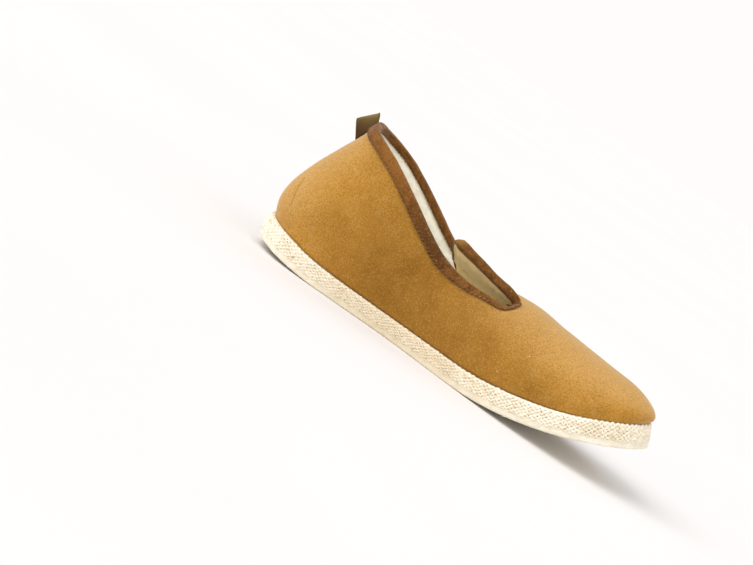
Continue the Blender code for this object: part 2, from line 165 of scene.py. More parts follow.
class RibbonSettings(bpy.types.PropertyGroup):
    width: length("Width", "Width of the ribbon along the heel", 16.0)
    layer: length("Layer", "Thickness of one layer", 0.8)
    fold: length("Fold", "Inner radius of the fold", 1.2)
    height: length("Height", "Height of the folded ribbon at its back", 12.5)
    base: length("Base", "Height on the heel where the ribbon begins", 86.0)
    lean: degrees("Lean", "Angle that the ribbon leans back", 25)
    rib: length("Rib", "Distance between the ribs of the weave", 0.8)
    # Painted light at the ribbon's fold and painted shade at its seam
    light: colour("Light", "Ribbon at its fold", (132, 112, 60))
    shade: colour("Shade", "Ribbon at the seam", (80, 52, 20))


class StageSettings(bpy.types.PropertyGroup):
    azimuth: degrees("Azimuth", "Camera's turn round the slipper", 7.186)
    elevation: degrees("Elevation", "Camera's angle above the floor", 6.878)
    roll: degrees("Roll", "Tilt of the picture", 33.686)
    distance: length("Distance", "From the camera to the middle of the slipper", 1195.8)
    focal: FloatProperty(
        name="Focal length", description="In pixels of the picture", default=1943.0, subtype="PIXEL"
    )
    target: FloatVectorProperty(
        name="Target", description="Point of the slipper that the camera is set from",
        default=(0.00567, -0.00196, 0.05), subtype="TRANSLATION", size=3,
    )
    target_pixel: FloatVectorProperty(
        name="Target pixel", description="Where that point is in the picture",
        default=(485.0, 299.13), subtype="COORDINATES", size=2,
    )
    floor: colour("Floor", "Pale floor", (225, 223, 223))


class SlipperSettings(bpy.types.PropertyGroup):
    suede: PointerProperty(type=SuedeSettings, name="Suede", description="Tan suede of the upper")
    binding: PointerProperty(type=BindingSettings, name="Binding", description="Brown tape of the collar")
    fleece: PointerProperty(type=FleeceSettings, name="Fleece", description="Lining and insole")
    braid: PointerProperty(type=BraidSettings, name="Braid", description="Braided side of the sole")
    felt: PointerProperty(type=FeltSettings, name="Felt", description="Outsole")
    ribbon: PointerProperty(type=RibbonSettings, name="Ribbon", description="Pull loop at the heel")
    stage: PointerProperty(type=StageSettings, name="Stage", description="Floor and camera")


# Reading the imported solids


def node_mesh(name):
    """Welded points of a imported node, in millimetres, and its triangles."""
    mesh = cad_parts[name].data
    mesh.calc_loop_triangles()
    places = np.empty(len(mesh.vertices) * 3, np.float32)
    mesh.vertices.foreach_get("co", places)
    corners = np.empty(len(mesh.loop_triangles) * 3, np.int32)
    mesh.loop_triangles.foreach_get("vertices", corners)
    grid = np.round(places.reshape(-1, 3) / MM, 3)
    points, welded = np.unique(grid, axis=0, return_inverse=True)
    return points.astype(float), welded.ravel()[corners].reshape(-1, 3)


def face_normals(points, triangles):
    """Directions that triangles face, each as long as twice its area."""
    a, b, c = (points[triangles[:, k]] for k in range(3))
    return np.cross(b - a, c - a)


def point_normals(points, triangles):
    """Directions that a surface faces at its points."""
    normals = np.zeros_like(points)
    facing = face_normals(points, triangles)
    for k in range(3):
        np.add.at(normals, triangles[:, k], facing)
    return units(normals)


def units(vectors):
    """Vectors of length one."""
    return vectors / np.maximum(np.linalg.norm(vectors, axis=-1, keepdims=True), 1e-9)


def smooth_regions(points, triangles, angle):
    """Groups of triangles that meet at less than an angle, the largest group first."""
    facing = face_normals(points, triangles)
    areas = np.linalg.norm(facing, axis=1)
    facing = units(facing)
    sides = {}
    for number, corners in enumerate(triangles.tolist()):
        for k in range(3):
            sides.setdefault(frozenset((corners[k], corners[k - 1])), []).append(number)
    joined = [[] for _ in triangles]
    for pair in sides.values():
        if len(pair) == 2 and facing[pair[0]] @ facing[pair[1]] > math.cos(angle):
            joined[pair[0]].append(pair[1])
            joined[pair[1]].append(pair[0])
    regions = []
    seen = set()
    for start in range(len(triangles)):
        if start in seen:
            continue
        seen.add(start)
        group = [start]
        for number in group:
            fresh = [other for other in joined[number] if other not in seen]
            seen.update(fresh)
            group += fresh
        regions.append(group)
    regions.sort(key=lambda group: -areas[group].sum())
    return [triangles[group] for group in regions]


def boundary_loops(triangles):
    """Closed chains of edges that only one triangle uses, running with its corners."""
    used = set()
    for a, b, c in triangles.tolist():
        used.update(((a, b), (b, c), (c, a)))
    after = {a: b for a, b in used if (b, a) not in used}
    loops = []
    while after:
        start = min(after)
        loop = [start]
        step = after.pop(start)
        while step != start:
            loop.append(step)
            step = after.pop(step)
        loops.append(loop)
    return loops


def alone(points, triangles):
    """The same triangles with only the points that they use."""
    used, numbers = np.unique(triangles, return_inverse=True)
    return points[used], numbers.reshape(-1, 3)


# Curves and surfaces


def even_curve(points, count, parts=24):
    """A smooth closed curve through points, read at even distances."""
    step = np.roll(points, -1, axis=0) - points
    run = np.linalg.norm(step, axis=1)[:, None]
    slope = step / run
    run_before = np.roll(run, 1, axis=0)
    tangent = (run_before * slope + run * np.roll(slope, 1, axis=0)) / (run + run_before)
    t = np.linspace(0, 1, parts, endpoint=False)[None, :, None]
    start, end = points[:, None], np.roll(points, -1, axis=0)[:, None]
    leave, arrive = (run * tangent)[:, None], (run * np.roll(tangent, -1, axis=0))[:, None]
    fine = start * (2 * t**3 - 3 * t**2 + 1) + leave * (t**3 - 2 * t**2 + t)
    fine = fine + end * (3 * t**2 - 2 * t**3) + arrive * (t**3 - t**2)
    fine = fine.reshape(-1, points.shape[1])
    closed = np.vstack((fine, fine[:1]))
    reached = np.concatenate(([0.0], np.cumsum(np.linalg.norm(np.diff(closed, axis=0), axis=1))))
    wanted = np.arange(count) * reached[-1] / count
    return np.stack([np.interp(wanted, reached, column) for column in closed.T], axis=1)


def refine(points, triangles, parts):
    """Curved patches through the points and their normals, each cut into small triangles."""
    normals = point_normals(points, triangles)
    corner = points[triangles]
    tilt = normals[triangles]
    handles = {}
    for i in range(3):
        for j in {0, 1, 2} - {i}:
            rise = ((corner[:, j] - corner[:, i]) * tilt[:, i]).sum(1, keepdims=True)
            handles[i, j] = (2 * corner[:, i] + corner[:, j] - rise * tilt[:, i]) / 3
    middle = sum(handles.values()) / 6
    centre = middle + (middle - corner.mean(1)) / 2
    sides = np.stack([np.sort(triangles[:, [k, (k + 1) % 3]], axis=1) for k in range(3)], axis=1)
    edges, edge_of = np.unique(sides.reshape(-1, 2), axis=0, return_inverse=True)
    edge_of = edge_of.reshape(-1, 3)
    first_inside = len(points) + len(edges) * (parts - 1)
    inside_count = (parts - 1) * (parts - 2) // 2
    fine = np.empty((first_inside + len(triangles) * inside_count, 3))
    numbers = {}
    inside = 0
    for i in range(parts + 1):
        for j in range(parts + 1 - i):
            share = (parts - i - j, i, j)
            if parts in share:
                number = triangles[:, share.index(parts)]
            elif 0 in share:
                k = (share.index(0) + 1) % 3
                forward = triangles[:, k] < triangles[:, (k + 1) % 3]
                along = np.where(forward, share[(k + 1) % 3], share[k]) - 1
                number = len(points) + edge_of[:, k] * (parts - 1) + along
            else:
                number = first_inside + np.arange(len(triangles)) * inside_count + inside
                inside += 1
            weight = np.array(share) / parts
            place = 6 * weight.prod() * centre
            for k in range(3):
                place = place + weight[k] ** 3 * corner[:, k]
            for (a, b), handle in handles.items():
                place = place + 3 * weight[a] ** 2 * weight[b] * handle
            fine[number] = place
            numbers[i, j] = number
    small = []
    for i in range(parts):
        for j in range(parts - i):
            small.append((numbers[i, j], numbers[i + 1, j], numbers[i, j + 1]))
            if i + j < parts - 1:
                small.append((numbers[i + 1, j], numbers[i + 1, j + 1], numbers[i, j + 1]))
    return fine, np.concatenate([np.stack(three, axis=1) for three in small])


def relax(points, triangles, rounds):
    """Evens a surface out, with its borders held."""
    pairs = np.concatenate([triangles[:, [k, (k + 1) % 3]] for k in range(3)])
    pairs = np.unique(np.sort(pairs, axis=1), axis=0)
    count = np.bincount(pairs.ravel(), minlength=len(points))[:, None]
    free = np.ones((len(points), 1))
    for loop in boundary_loops(triangles):
        free[loop] = 0.0
    for _ in range(rounds):
        total = np.zeros_like(points)
        np.add.at(total, pairs[:, 0], points[pairs[:, 1]])
        np.add.at(total, pairs[:, 1], points[pairs[:, 0]])
        points = points + 0.5 * free * (total / count - points)
    return points


def waves(points, size, seed=0):
    """Smooth noise from -1 to 1 at points, with features of a size."""
    offset = Vector((31.7 * seed, 17.3 * seed, 5.9 * seed))
    return np.array([noise.noise(Vector(place) / size + offset) for place in points])


def eased(values, reach):
    """Values round a closed loop, each one the mean of its neighbours up to a reach."""
    steps = range(-reach, reach + 1)
    return sum(np.roll(values, step, axis=0) for step in steps) / len(steps)


def smooth_step(values):
    """Nothing up to 0 and one from 1, with a soft rise between."""
    values = np.clip(values, 0.0, 1.0)
    return values * values * (3 - 2 * values)


def point_tree(points):
    """A tree that finds the nearest of some points."""
    tree = KDTree(len(points))
    for number, place in enumerate(points):
        tree.insert(place, number)
    tree.balance()
    return tree


def distance_to(points, others):
    """How far points are from the nearest of others."""
    tree = point_tree(others)
    return np.array([tree.find(place)[2] for place in points])


def route_points(route, count):
    """Points along the straight stretches of a route, the same number for each stretch."""
    steps = np.linspace(0, len(route) - 1, count)
    return np.stack([np.interp(steps, range(len(route)), axis) for axis in np.array(route, float).T], axis=1)


def skin(stations, corners, closed=False):
    """Faces between the neighbours in a row of sections that each have a number of corners."""
    faces = []
    for k in range(stations if closed else stations - 1):
        here, after = k * corners, (k + 1) % stations * corners
        for row in range(corners):
            beside = (row + 1) % corners
            faces.append((here + row, here + beside, after + beside, after + row))
    return faces


def shell(points, triangles, backs):
    """Closed wall between a surface and the points behind it."""
    count = len(points)
    faces = triangles.tolist() + (triangles[:, ::-1] + count).tolist()
    for loop in boundary_loops(triangles):
        for a, b in zip(loop, loop[1:] + loop[:1]):
            faces.append((b, a, a + count, b + count))
    return np.vstack((points, backs)), faces


def sweep(paths, ups, radii, closed=False):
    """Tubes along rows of points; radii has one size for each corner of each section."""
    rows, steps, sides = radii.shape
    if closed:
        along = np.roll(paths, -1, axis=1) - np.roll(paths, 1, axis=1)
    else:
        along = np.gradient(paths, axis=1)
    along = units(along)
    ups = units(ups - (ups * along).sum(-1, keepdims=True) * along)
    across = np.cross(along, ups)
    turn = np.arange(sides) * 2 * math.pi / sides
    ring = np.cos(turn)[:, None] * across[:, :, None] + np.sin(turn)[:, None] * ups[:, :, None]
    points = (paths[:, :, None] + radii[..., None] * ring).reshape(-1, 3)
    row, step, side = np.meshgrid(
        np.arange(rows), np.arange(steps if closed else steps - 1), np.arange(sides), indexing="ij"
    )
    after, beside = (step + 1) % steps, (side + 1) % sides

    def number(at_step, at_side):
        return ((row * steps + at_step) * sides + at_side).ravel()

    corners = number(step, side), number(after, side), number(after, beside), number(step, beside)
    faces = np.stack(corners, axis=1).tolist()
    if not closed:
        for first in range(0, rows * steps * sides, steps * sides):
            last = first + (steps - 1) * sides
            faces.append(list(range(first, first + sides)))
            faces.append(list(range(last + sides - 1, last - 1, -1)))
    return points, faces


def sole_loops(name, count):
    """The lower and upper edge of a layer of the sole, at even distances, from the heel round."""
    points, triangles = node_mesh(name)
    flats = smooth_regions(points, triangles, FLAT_ANGLE)[:2]
    flats.sort(key=lambda flat: points[flat][..., 2].mean())
    loops = []
    for flat in flats:
        loop = points[max(boundary_loops(flat), key=len)]
        loop = np.roll(loop, -loop[:, 0].argmin(), axis=0)
        if loop[1, 1] > loop[-1, 1]:
            loop = np.vstack((loop[:1], loop[:0:-1]))
        loops.append(loop)
    lower, upper = loops
    if len(lower) != len(upper):
        raise RuntimeError(f"the two edges of {name} differ")
    pair = even_curve(np.hstack((lower, upper)), count)
    return pair[:, :3], pair[:, 3:]


def outward(ring):
    """Level directions square to a loop that runs from the heel along the inner side."""
    along = np.roll(ring, -1, axis=0) - np.roll(ring, 1, axis=0)
    return units(np.stack((along[:, 1], -along[:, 0], np.zeros(len(ring))), axis=1))


def slab(rings, columns):
    """Closed layer: rings from below to above, and a grid of faces across each end."""
    count = len(rings[0])
    points = list(np.concatenate(rings))
    faces = []
    for level in range(len(rings) - 1):
        for k in range(count):
            a, b = level * count + k, level * count + (k + 1) % count
            faces.append((a, b, b + count, a + count))
    for level, turn in ((0, -1), (len(rings) - 1, 1)):
        rows = []
        for k in range(1, count // 2):
            near, far = level * count + k, level * count + count - k
            row = [near]
            for column in range(1, columns):
                share = column / columns
                row.append(len(points))
                points.append(points[near] * (1 - share) + points[far] * share)
            rows.append(row + [far])
        for before, after in zip(rows, rows[1:]):
            for k in range(columns):
                faces.append((before[k], after[k], after[k + 1], before[k + 1])[::turn])
        heel, toe = level * count, level * count + count // 2
        for k in range(columns):
            faces.append((heel, rows[0][k], rows[0][k + 1])[::turn])
            faces.append((toe, rows[-1][k + 1], rows[-1][k])[::turn])
    return np.array(points), faces


# Materials


class Finish:
    """A Principled material and the nodes that feed it. Sizes of patterns are in metres."""

    def __init__(self, name, base, roughness, **fixed):
        self.material = bpy.data.materials.new(name)
        self.material.use_nodes = True
        self.material.diffuse_color = (*base, 1.0)
        self.tree = self.material.node_tree
        self.shader = self.tree.nodes["Principled BSDF"]
        self.place = self.node("TexCoord").outputs["Object"]
        self.shader.inputs["Roughness"].default_value = roughness
        for socket, value in fixed.items():
            self.shader.inputs[socket.replace("_", " ").title().replace("Ior", "IOR")].default_value = value

    def node(self, kind, settings=None, **inputs):
        """A node of a kind. An input that is given a socket is linked, and any other is set."""
        made = self.tree.nodes.new("ShaderNode" + kind)
        for key, value in (settings or {}).items():
            setattr(made, key, value)
        for key, value in inputs.items():
            self.feed(made.inputs[key.replace("_", " ")], value)
        return made

    def feed(self, socket, value):
        """A socket linked to another one, or set to a value."""
        if isinstance(value, bpy.types.NodeSocket):
            self.tree.links.new(value, socket)
        else:
            socket.default_value = value

    def grain(self, size, detail=2.0, roughness=0.5):
        """Noise with features of a size."""
        made = self.node("TexNoise", Scale=1 / size, Detail=detail, Roughness=roughness, Vector=self.place)
        return made.outputs[0]

    def span(self, value, low, high, start=0.0, end=1.0):
        """A value from low to high, moved to run from start to end."""
        names = {"From Min": low, "From Max": high, "To Min": start, "To Max": end}
        made = self.node("MapRange", {"interpolation_type": "SMOOTHSTEP"}, Value=value, **names)
        return made.outputs[0]

    def maths(self, operation, first, second):
        """Two values joined by an operation."""
        made = self.node("Math", {"operation": operation})
        self.feed(made.inputs[0], first)
        self.feed(made.inputs[1], second)
        return made.outputs[0]

    def blend(self, factor, first, second):
        """A mix of two colours, the second one where the factor is one."""
        made = self.node("Mix", {"data_type": "RGBA"})
        self.feed(made.inputs[0], factor)
        for socket, value in ((made.inputs[6], first), (made.inputs[7], second)):
            self.feed(socket, value if isinstance(value, bpy.types.NodeSocket) else (*value, 1.0))
        return made.outputs[2]

    def tint(self, base, factor, strength, shade):
        """A base colour mixed towards a shade, by a factor times a strength."""
        return self.blend(self.maths("MULTIPLY", factor, strength), base, shade)

    def near(self, centre, radius):
        """One at a point in millimetres, falling to nothing at a radius."""
        made = self.node("VectorMath", {"operation": "DISTANCE"})
        self.feed(made.inputs[0], self.place)
        made.inputs[1].default_value = [value * MM for value in centre]
        return self.span(made.outputs["Value"], 0.0, radius * MM, 1.0, 0.0)

    def facing(self, way):
        """How much the surface faces a direction of the slipper, from -1 to 1."""
        made = self.node("VectorMath", {"operation": "DOT_PRODUCT"})
        self.feed(made.inputs[0], self.place.node.outputs["Normal"])
        made.inputs[1].default_value = Vector(way).normalized()
        return made.outputs["Value"]

    def bump(self, height, distance, strength=1.0, under=None):
        """Relief from a height, over the relief under it."""
        made = self.node("Bump", Strength=strength, Distance=distance, Height=height)
        if under:
            self.feed(made.inputs["Normal"], under)
        return made.outputs[0]

    def done(self, base, normal):
        """The material, with its colour and relief linked."""
        self.feed(self.shader.inputs["Base Color"], base)
        self.feed(self.shader.inputs["Normal"], normal)
        return self.material


def settings():
    """What a user can change."""
    return bpy.context.scene.slipper


# Creases of the suede, troughs with soft shoulders: name, depth, half width and route in millimetres
CREASES = (
    ("flex of the vamp", 0.4, 8.0, ((50, -42, 38), (54, -25, 56), (56, 0, 62), (52, 30, 54))),
    ("inner heel fold", 1.0, 1.6, ((-127, -23, 50), (-126, -25, 43), (-123, -28, 34))),
    ("inner heel fold below", 0.7, 1.4, ((-119, -28, 45), (-118, -30, 38), (-116, -31, 32))),
    ("inner quarter", 0.5, 9.0, ((-56, -34, 70), (-36, -36, 52), (-26, -38, 34))),
    ("outer quarter", 0.5, 9.0, ((-51, 36, 66), (-34, 38, 48), (-20, 42, 32))),
    ("centre back seam", 0.7, 0.9, ((-123, 0, 20), (-127, 0, 45), (-117, 0, 72), (-110, 0, 96))),
)
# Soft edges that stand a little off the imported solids: name, centre, radius and shift in millimetres
GIVES = (
    ("front of the inner dip", (23, -20, 59), 10, (3.6, 0.0, 0.2)),
    ("corner of the inner dip", (19, -27, 58), 7, (1.2, -0.6, -1.8)),
    ("outer edge of the tongue, front", (13, 22, 57), 9, (0.0, 0.0, -4.0)),
    ("outer edge of the tongue, middle", (-1, 24, 56), 9, (0.0, 0.0, -4.0)),
    ("outer edge of the tongue, back", (-15, 24, 57), 9, (0.0, 0.0, -4.0)),
    ("top of the heel", (-110, 0, 103), 15, (0.9, 0.0, 2.2)),
)
# Places of the suede that look darker, smudges of dirt at the heel, below the collar and at the inner toe,
# and painted shade over the middle and lower sides: name, centre and radius in millimetres, and strength
SMUDGES_AND_SHADE = (
    ("heel above the sole", (-98, -35, 40), 20, 0.3),
    ("below the collar", (-92, -32, 86), 16, 0.2),
    ("inner side", (-38, -38, 34), 76, 0.95),
    ("inner waist", (22, -44, 20), 66, 0.65),
    ("outer side", (-38, 40, 34), 76, 0.95),
    ("outer waist", (22, 48, 20), 66, 0.65),
    ("inner ball", (66, -47, 22), 28, 0.5),
    ("inner toe", (96, -43, 38), 22, 0.15),
)
# Painted highlights, places of the suede made paler where light falls, in the same form
HIGHLIGHTS = (
    ("back of the heel", (-126, -24, 40), 34, 0.9),
    ("edge of the vamp", (70, 0, 66), 30, 0.25),
    ("end of the toe", (130, -8, 36), 30, 0.9),
)
# Specks of lint on the nap: centre and radius in millimetres
LINT = (
    ((52, -44, 42), 0.7),
    ((41, -46, 24), 0.6),
    ((90, -43, 43), 0.6),
)
LINT_COLOUR = (0.75, 0.68, 0.55)
# Places of the tape, its thread and the sole with a tint: painted shade low on the inner tape, painted light
# higher up it and on the tongue's corner, painted highlights on the thread in the inner dip, and darker,
# duller yarn and felt at the waist. Centre and radius in millimetres
SHADED_TAPE = ((-33, -34, 62), 28)
LIT_TAPE = ((-84, -33, 88), 34)
LIT_TONGUE_CORNER = ((-24, -24, 74), 9)
HIGHLIT_THREAD = ((6, -40, 56), 24)
WAIST_OF_SOLE = (((-25, -42, 8), 105), ((-25, 42, 8), 105))
# X where the centre back seam begins to show and where it shows fully
SEAM_RANGE = (-96 * MM, -100 * MM)
# X and Z where the painted warm shade on the fleece under the tongue begins and where it is full
TONGUE_SHADE_X = (-28 * MM, -25 * MM)
TONGUE_SHADE_Z = (34 * MM, 40 * MM)
# Heights between which the ribbon goes from painted shade to painted light
RIBBON_SHADE_TO_LIGHT = (90 * MM, 107 * MM)
# Points along each crease, and spots of painted shade along each fold
CREASE_STEPS = 60
FOLD_SPOTS = 11


def seam_and_fold_shade(finish):
    """One along the centre back seam and along the folds of the heel, where it is painted shade, and nothing
    elsewhere.
    """
    parts = finish.node("SeparateXYZ", Vector=finish.place)
    lines = finish.span(finish.maths("ABSOLUTE", parts.outputs["Y"], 0.0), 0.9 * MM, 0.2 * MM)
    lines = finish.maths("MULTIPLY", lines, finish.span(parts.outputs["X"], *SEAM_RANGE))
    for name, _, width, route in CREASES:
        if "fold" in name:
            for place in route_points(route, FOLD_SPOTS):
                spot = finish.maths("MULTIPLY", finish.near(place, width * 1.2), 0.7)
                lines = finish.maths("MAXIMUM", lines, spot)
    return lines


@functools.cache
def tan_suede():
    """Tan nap with tufts, brushed tracts, painted light on the faces that look up and back, smudges of dirt,
    painted shade on the sides, painted highlights, seam, painted shade in the heel folds, and lint.
    """
    suede = settings().suede
    finish = Finish(
        "tan_suede", suede.nap_light, 0.95, specular_ior_level=0.15,
        sheen_weight=0.45, sheen_roughness=0.35, sheen_tint=(1.0, 0.93, 0.72, 1.0),
    )
    tufts = finish.grain(suede.nap_size, 3.0, 0.65)
    clumps = finish.grain(3.4 * MM, 3.0, 0.6)
    brushed = finish.grain(24 * MM, 3.0, 0.55)
    base = finish.blend(finish.span(brushed, 0.35, 0.65), suede.nap_dark, suede.nap_light)
    # Painted light: faces that look up and back, towards the light from above, mixed towards the lit nap
    base = finish.blend(finish.span(finish.facing((-0.5, -0.15, 0.85)), 0.2, 0.8), base, suede.nap_lit)
    deep = [value * 0.62 for value in suede.nap_dark]
    # Paler nap for the tufts, the mottling and the painted highlights
    pale = [min(1.0, value * 1.15) for value in suede.nap_lit]
    base = finish.tint(base, finish.span(finish.grain(8 * MM, 3.0, 0.6), 0.52, 0.7), 0.4, pale)
    uneven = finish.span(finish.grain(14 * MM), 0.35, 0.65, 0.75, 1.0)
    # Painted shade over the middle and lower sides, and smudges of dirt, broken up by noise
    for _, centre, radius, strength in SMUDGES_AND_SHADE:
        patch = finish.maths("MULTIPLY", finish.near(centre, radius), uneven)
        base = finish.tint(base, patch, strength, suede.smudge_and_shade)
    # Painted highlights at the back of the heel, the edge of the vamp and the end of the toe
    for _, centre, radius, strength in HIGHLIGHTS:
        base = finish.tint(base, finish.near(centre, radius), strength, pale)
    base = finish.tint(base, finish.span(clumps, 0.52, 0.70), 0.18, deep)
    base = finish.tint(base, finish.span(tufts, 0.48, 0.62), 0.34, pale)
    base = finish.tint(base, finish.span(tufts, 0.53, 0.38), 0.55, deep)
    lines = seam_and_fold_shade(finish)
    # Darker seam, and painted shade in the folds of the heel
    base = finish.tint(base, lines, 0.75, deep)
    for centre, radius in LINT:
        base = finish.blend(finish.near(centre, radius), base, LINT_COLOUR)
    normal = finish.bump(brushed, 1.2 * MM, 0.25)
    normal = finish.bump(clumps, 0.5 * MM, 0.35, normal)
    normal = finish.bump(lines, -0.6 * MM, 0.8, normal)
    return finish.done(base, finish.bump(tufts, 0.35 * MM, 0.6, normal))


@functools.cache
def brown_suede():
    """Brown nap of the tape, with painted shade low on the inner tape and painted light higher up it and on
    the tongue's corner.
    """
    tape = settings().binding
    finish = Finish(
        "brown_suede", tape.nap, 0.95, specular_ior_level=0.2,
        sheen_weight=0.2, sheen_roughness=0.45, sheen_tint=(1.0, 0.88, 0.76, 1.0),
    )
    tufts = finish.grain(1.3 * MM, 3.0, 0.6)
    clumps = finish.grain(5 * MM, 3.0, 0.6)
    base = finish.blend(finish.span(clumps, 0.30, 0.70), tape.shade, tape.nap)
    # Painted shade low on the inner tape, painted light higher up it
    base = finish.tint(base, finish.near(*SHADED_TAPE), 0.8, [value * 0.7 for value in tape.shade])
    base = finish.tint(base, finish.near(*LIT_TAPE), 0.7, [value * 1.5 for value in tape.nap])
    # Painted light on the tape at the tongue's corner
    base = finish.blend(finish.near(*LIT_TONGUE_CORNER), base, tape.lit)
    base = finish.tint(base, finish.span(tufts, 0.50, 0.70), 0.45, tape.fuzz)
    base = finish.tint(base, finish.span(tufts, 0.50, 0.34), 0.40, tape.shade)
    normal = finish.bump(clumps, 0.5 * MM, 0.35)
    return finish.done(base, finish.bump(tufts, 0.4 * MM, 0.6, normal))


@functools.cache
def brown_thread():
    """Thread of the hem, with painted highlights in the inner dip."""
    tape = settings().binding
    finish = Finish("brown_thread", tape.nap, 0.8, sheen_weight=0.2)
    fibres = finish.grain(0.6 * MM, 3.0, 0.6)
    base = finish.blend(finish.span(fibres, 0.3, 0.7), tape.shade, tape.nap)
    # Painted highlights on the thread in the inner dip, broken up by noise
    lit = finish.span(finish.grain(5 * MM), 0.35, 0.6)
    lit = finish.maths("MULTIPLY", finish.near(*HIGHLIT_THREAD), lit)
    base = finish.blend(lit, base, tape.thread_highlight)
    return finish.done(base, finish.bump(fibres, 0.15 * MM, 0.6))


@functools.cache
def cream_fleece():
    """Curled pile, with a painted warm shade on the fleece under the tongue."""
    fleece = settings().fleece
    finish = Finish(
        "cream_fleece", fleece.light, 1.0, specular_ior_level=0.1,
        sheen_weight=0.4, sheen_roughness=0.6, sheen_tint=(1.0, 0.97, 0.9, 1.0),
    )
    curls = finish.grain(fleece.curl * 0.7, 4.0, 0.6)
    hairs = finish.grain(0.6 * MM, 3.0, 0.7)
    base = finish.blend(finish.span(curls, 0.3, 0.62), fleece.shade, fleece.light)
    parts = finish.node("SeparateXYZ", Vector=finish.place)
    # Painted warm shade on the fleece under the tongue, beyond an X and above a Z
    under = finish.span(parts.outputs["X"], *TONGUE_SHADE_X)
    under = finish.maths("MULTIPLY", under, finish.span(parts.outputs["Z"], *TONGUE_SHADE_Z))
    base = finish.blend(under, base, fleece.tongue_shade)
    normal = finish.bump(curls, 1.2 * MM, 0.5)
    return finish.done(base, finish.bump(hairs, 0.4 * MM, 0.5, normal))


def dulled(finish, base):
    """Base colour greyed a little at the waist, on both sides."""
    for centre, radius in WAIST_OF_SOLE:
        base = finish.tint(base, finish.near(centre, radius), 0.55, settings().braid.waist_tint)
    return base


@functools.cache
def cream_cord():
    """Cotton yarn with beige flecks and bits of straw."""
    braid = settings().braid
    finish = Finish("cream_cord", braid.light, 0.95, sheen_weight=0.2, specular_ior_level=0.15)
    flecks = finish.grain(2.2 * MM, 4.0, 0.7)
    specks = finish.grain(1.7 * MM, 2.0, 0.6)
    runs = finish.grain(16 * MM, 3.0, 0.6)
    hairs = finish.grain(0.45 * MM, 2.0, 0.6)
    base = finish.tint(braid.light, finish.span(runs, 0.42, 0.7), 0.5, braid.fleck)
    base = finish.tint(base, finish.span(flecks, 0.50, 0.62), 0.8, braid.fleck)
    base = finish.tint(base, finish.span(specks, 0.67, 0.73), 0.8, braid.speck)
    base = finish.tint(dulled(finish, base), finish.span(flecks, 0.50, 0.40), 0.15, braid.fleck)
    return finish.done(base, finish.bump(hairs, 0.2 * MM, 0.7))


@functools.cache
def cream_felt():
    """Pressed wool, thinner in places."""
    felt = settings().felt
    finish = Finish("cream_felt", felt.light, 1.0, sheen_weight=0.25, specular_ior_level=0.1)
    matted = finish.grain(6 * MM, 4.0, 0.65)
    hairs = finish.grain(0.7 * MM, 4.0, 0.7)
    base = dulled(finish, finish.blend(finish.span(matted, 0.35, 0.65), felt.shade, felt.light))
    normal = finish.bump(matted, 0.8 * MM, 0.4)
    return finish.done(base, finish.bump(hairs, 0.4 * MM, 0.7, normal))


@functools.cache
def olive_ribbon():
    """Ribbed weave with painted shade low at the seam, rising to painted light towards its fold."""
    ribbon = settings().ribbon
    finish = Finish("olive_ribbon", ribbon.shade, 0.7, sheen_weight=0.1, specular_ior_level=0.25)
    weave = finish.node(
        "TexWave", {"bands_direction": "Z"}, Scale=WAVE_PERIOD / ribbon.rib, Distortion=0.4, Detail=1.0,
        Vector=finish.place,
    )
    threads = finish.grain(0.8 * MM, 2.0, 0.5)
    ribs = weave.outputs["Fac"]
    height = finish.node("SeparateXYZ", Vector=finish.place).outputs["Z"]
    # Painted shade low on the ribbon, rising to painted light towards its fold
    base = finish.blend(finish.span(height, *RIBBON_SHADE_TO_LIGHT), ribbon.shade, ribbon.light)
    dark = [value * 0.6 for value in ribbon.shade]
    base = finish.tint(base, ribs, finish.span(threads, 0.3, 0.7, 0.1, 0.6), dark)
    return finish.done(base, finish.bump(ribs, 0.25 * MM, 0.7))


@functools.cache
def pale_floor():
    """Smooth floor that is a little cloudy."""
    floor = settings().stage.floor
    finish = Finish("pale_floor", floor, 0.9, specular_ior_level=0.1)
    cloudy = finish.grain(0.4, 2.0, 0.5)
    base = finish.blend(finish.span(cloudy, 0.3, 0.7), [value * 0.985 for value in floor], floor)
    return finish.done(base, finish.bump(finish.grain(0.9 * MM), 0.02 * MM, 0.1))


# Pieces


def add_piece(name, points, faces, material, replaced=()):
    """A shaded mesh from points in millimetres, riding with the slipper."""
    mesh = bpy.data.meshes.new(name)
    mesh.from_pydata((np.asarray(points) * MM).tolist(), [], faces)
    mesh.validate()
    mesh.shade_smooth()
    mesh.materials.append(material)
    piece = bpy.data.objects.new(name, mesh)
    bpy.context.scene.collection.objects.link(piece)
    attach(piece, BODY)
    if replaced:
        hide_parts(*replaced)
    return piece


def give(points):
    """Points moved with the soft edges near them."""
    for _, centre, radius, shift in GIVES:
        far = np.linalg.norm(points - centre, axis=1, keepdims=True) / radius
        points = points + np.exp(-(far**2)) * np.array(shift)
    return points


@functools.cache
def wall_faces():
    """Outer and inner face of the upper's wall, without the strips at the collar and the foot."""
    points, triangles = node_mesh("upper")
    sole_points, sole_triangles = node_mesh("midsole")
    sole = BVHTree.FromPolygons(sole_points.tolist(), sole_triangles.tolist())
    low = np.array([sole.find_nearest(Vector(place))[3] for place in points]) < FOOT_GAP
    wall = triangles[~low[triangles].all(1)]
    return [alone(points, region) for region in smooth_regions(points, wall, FOLD_ANGLE)[:2]]


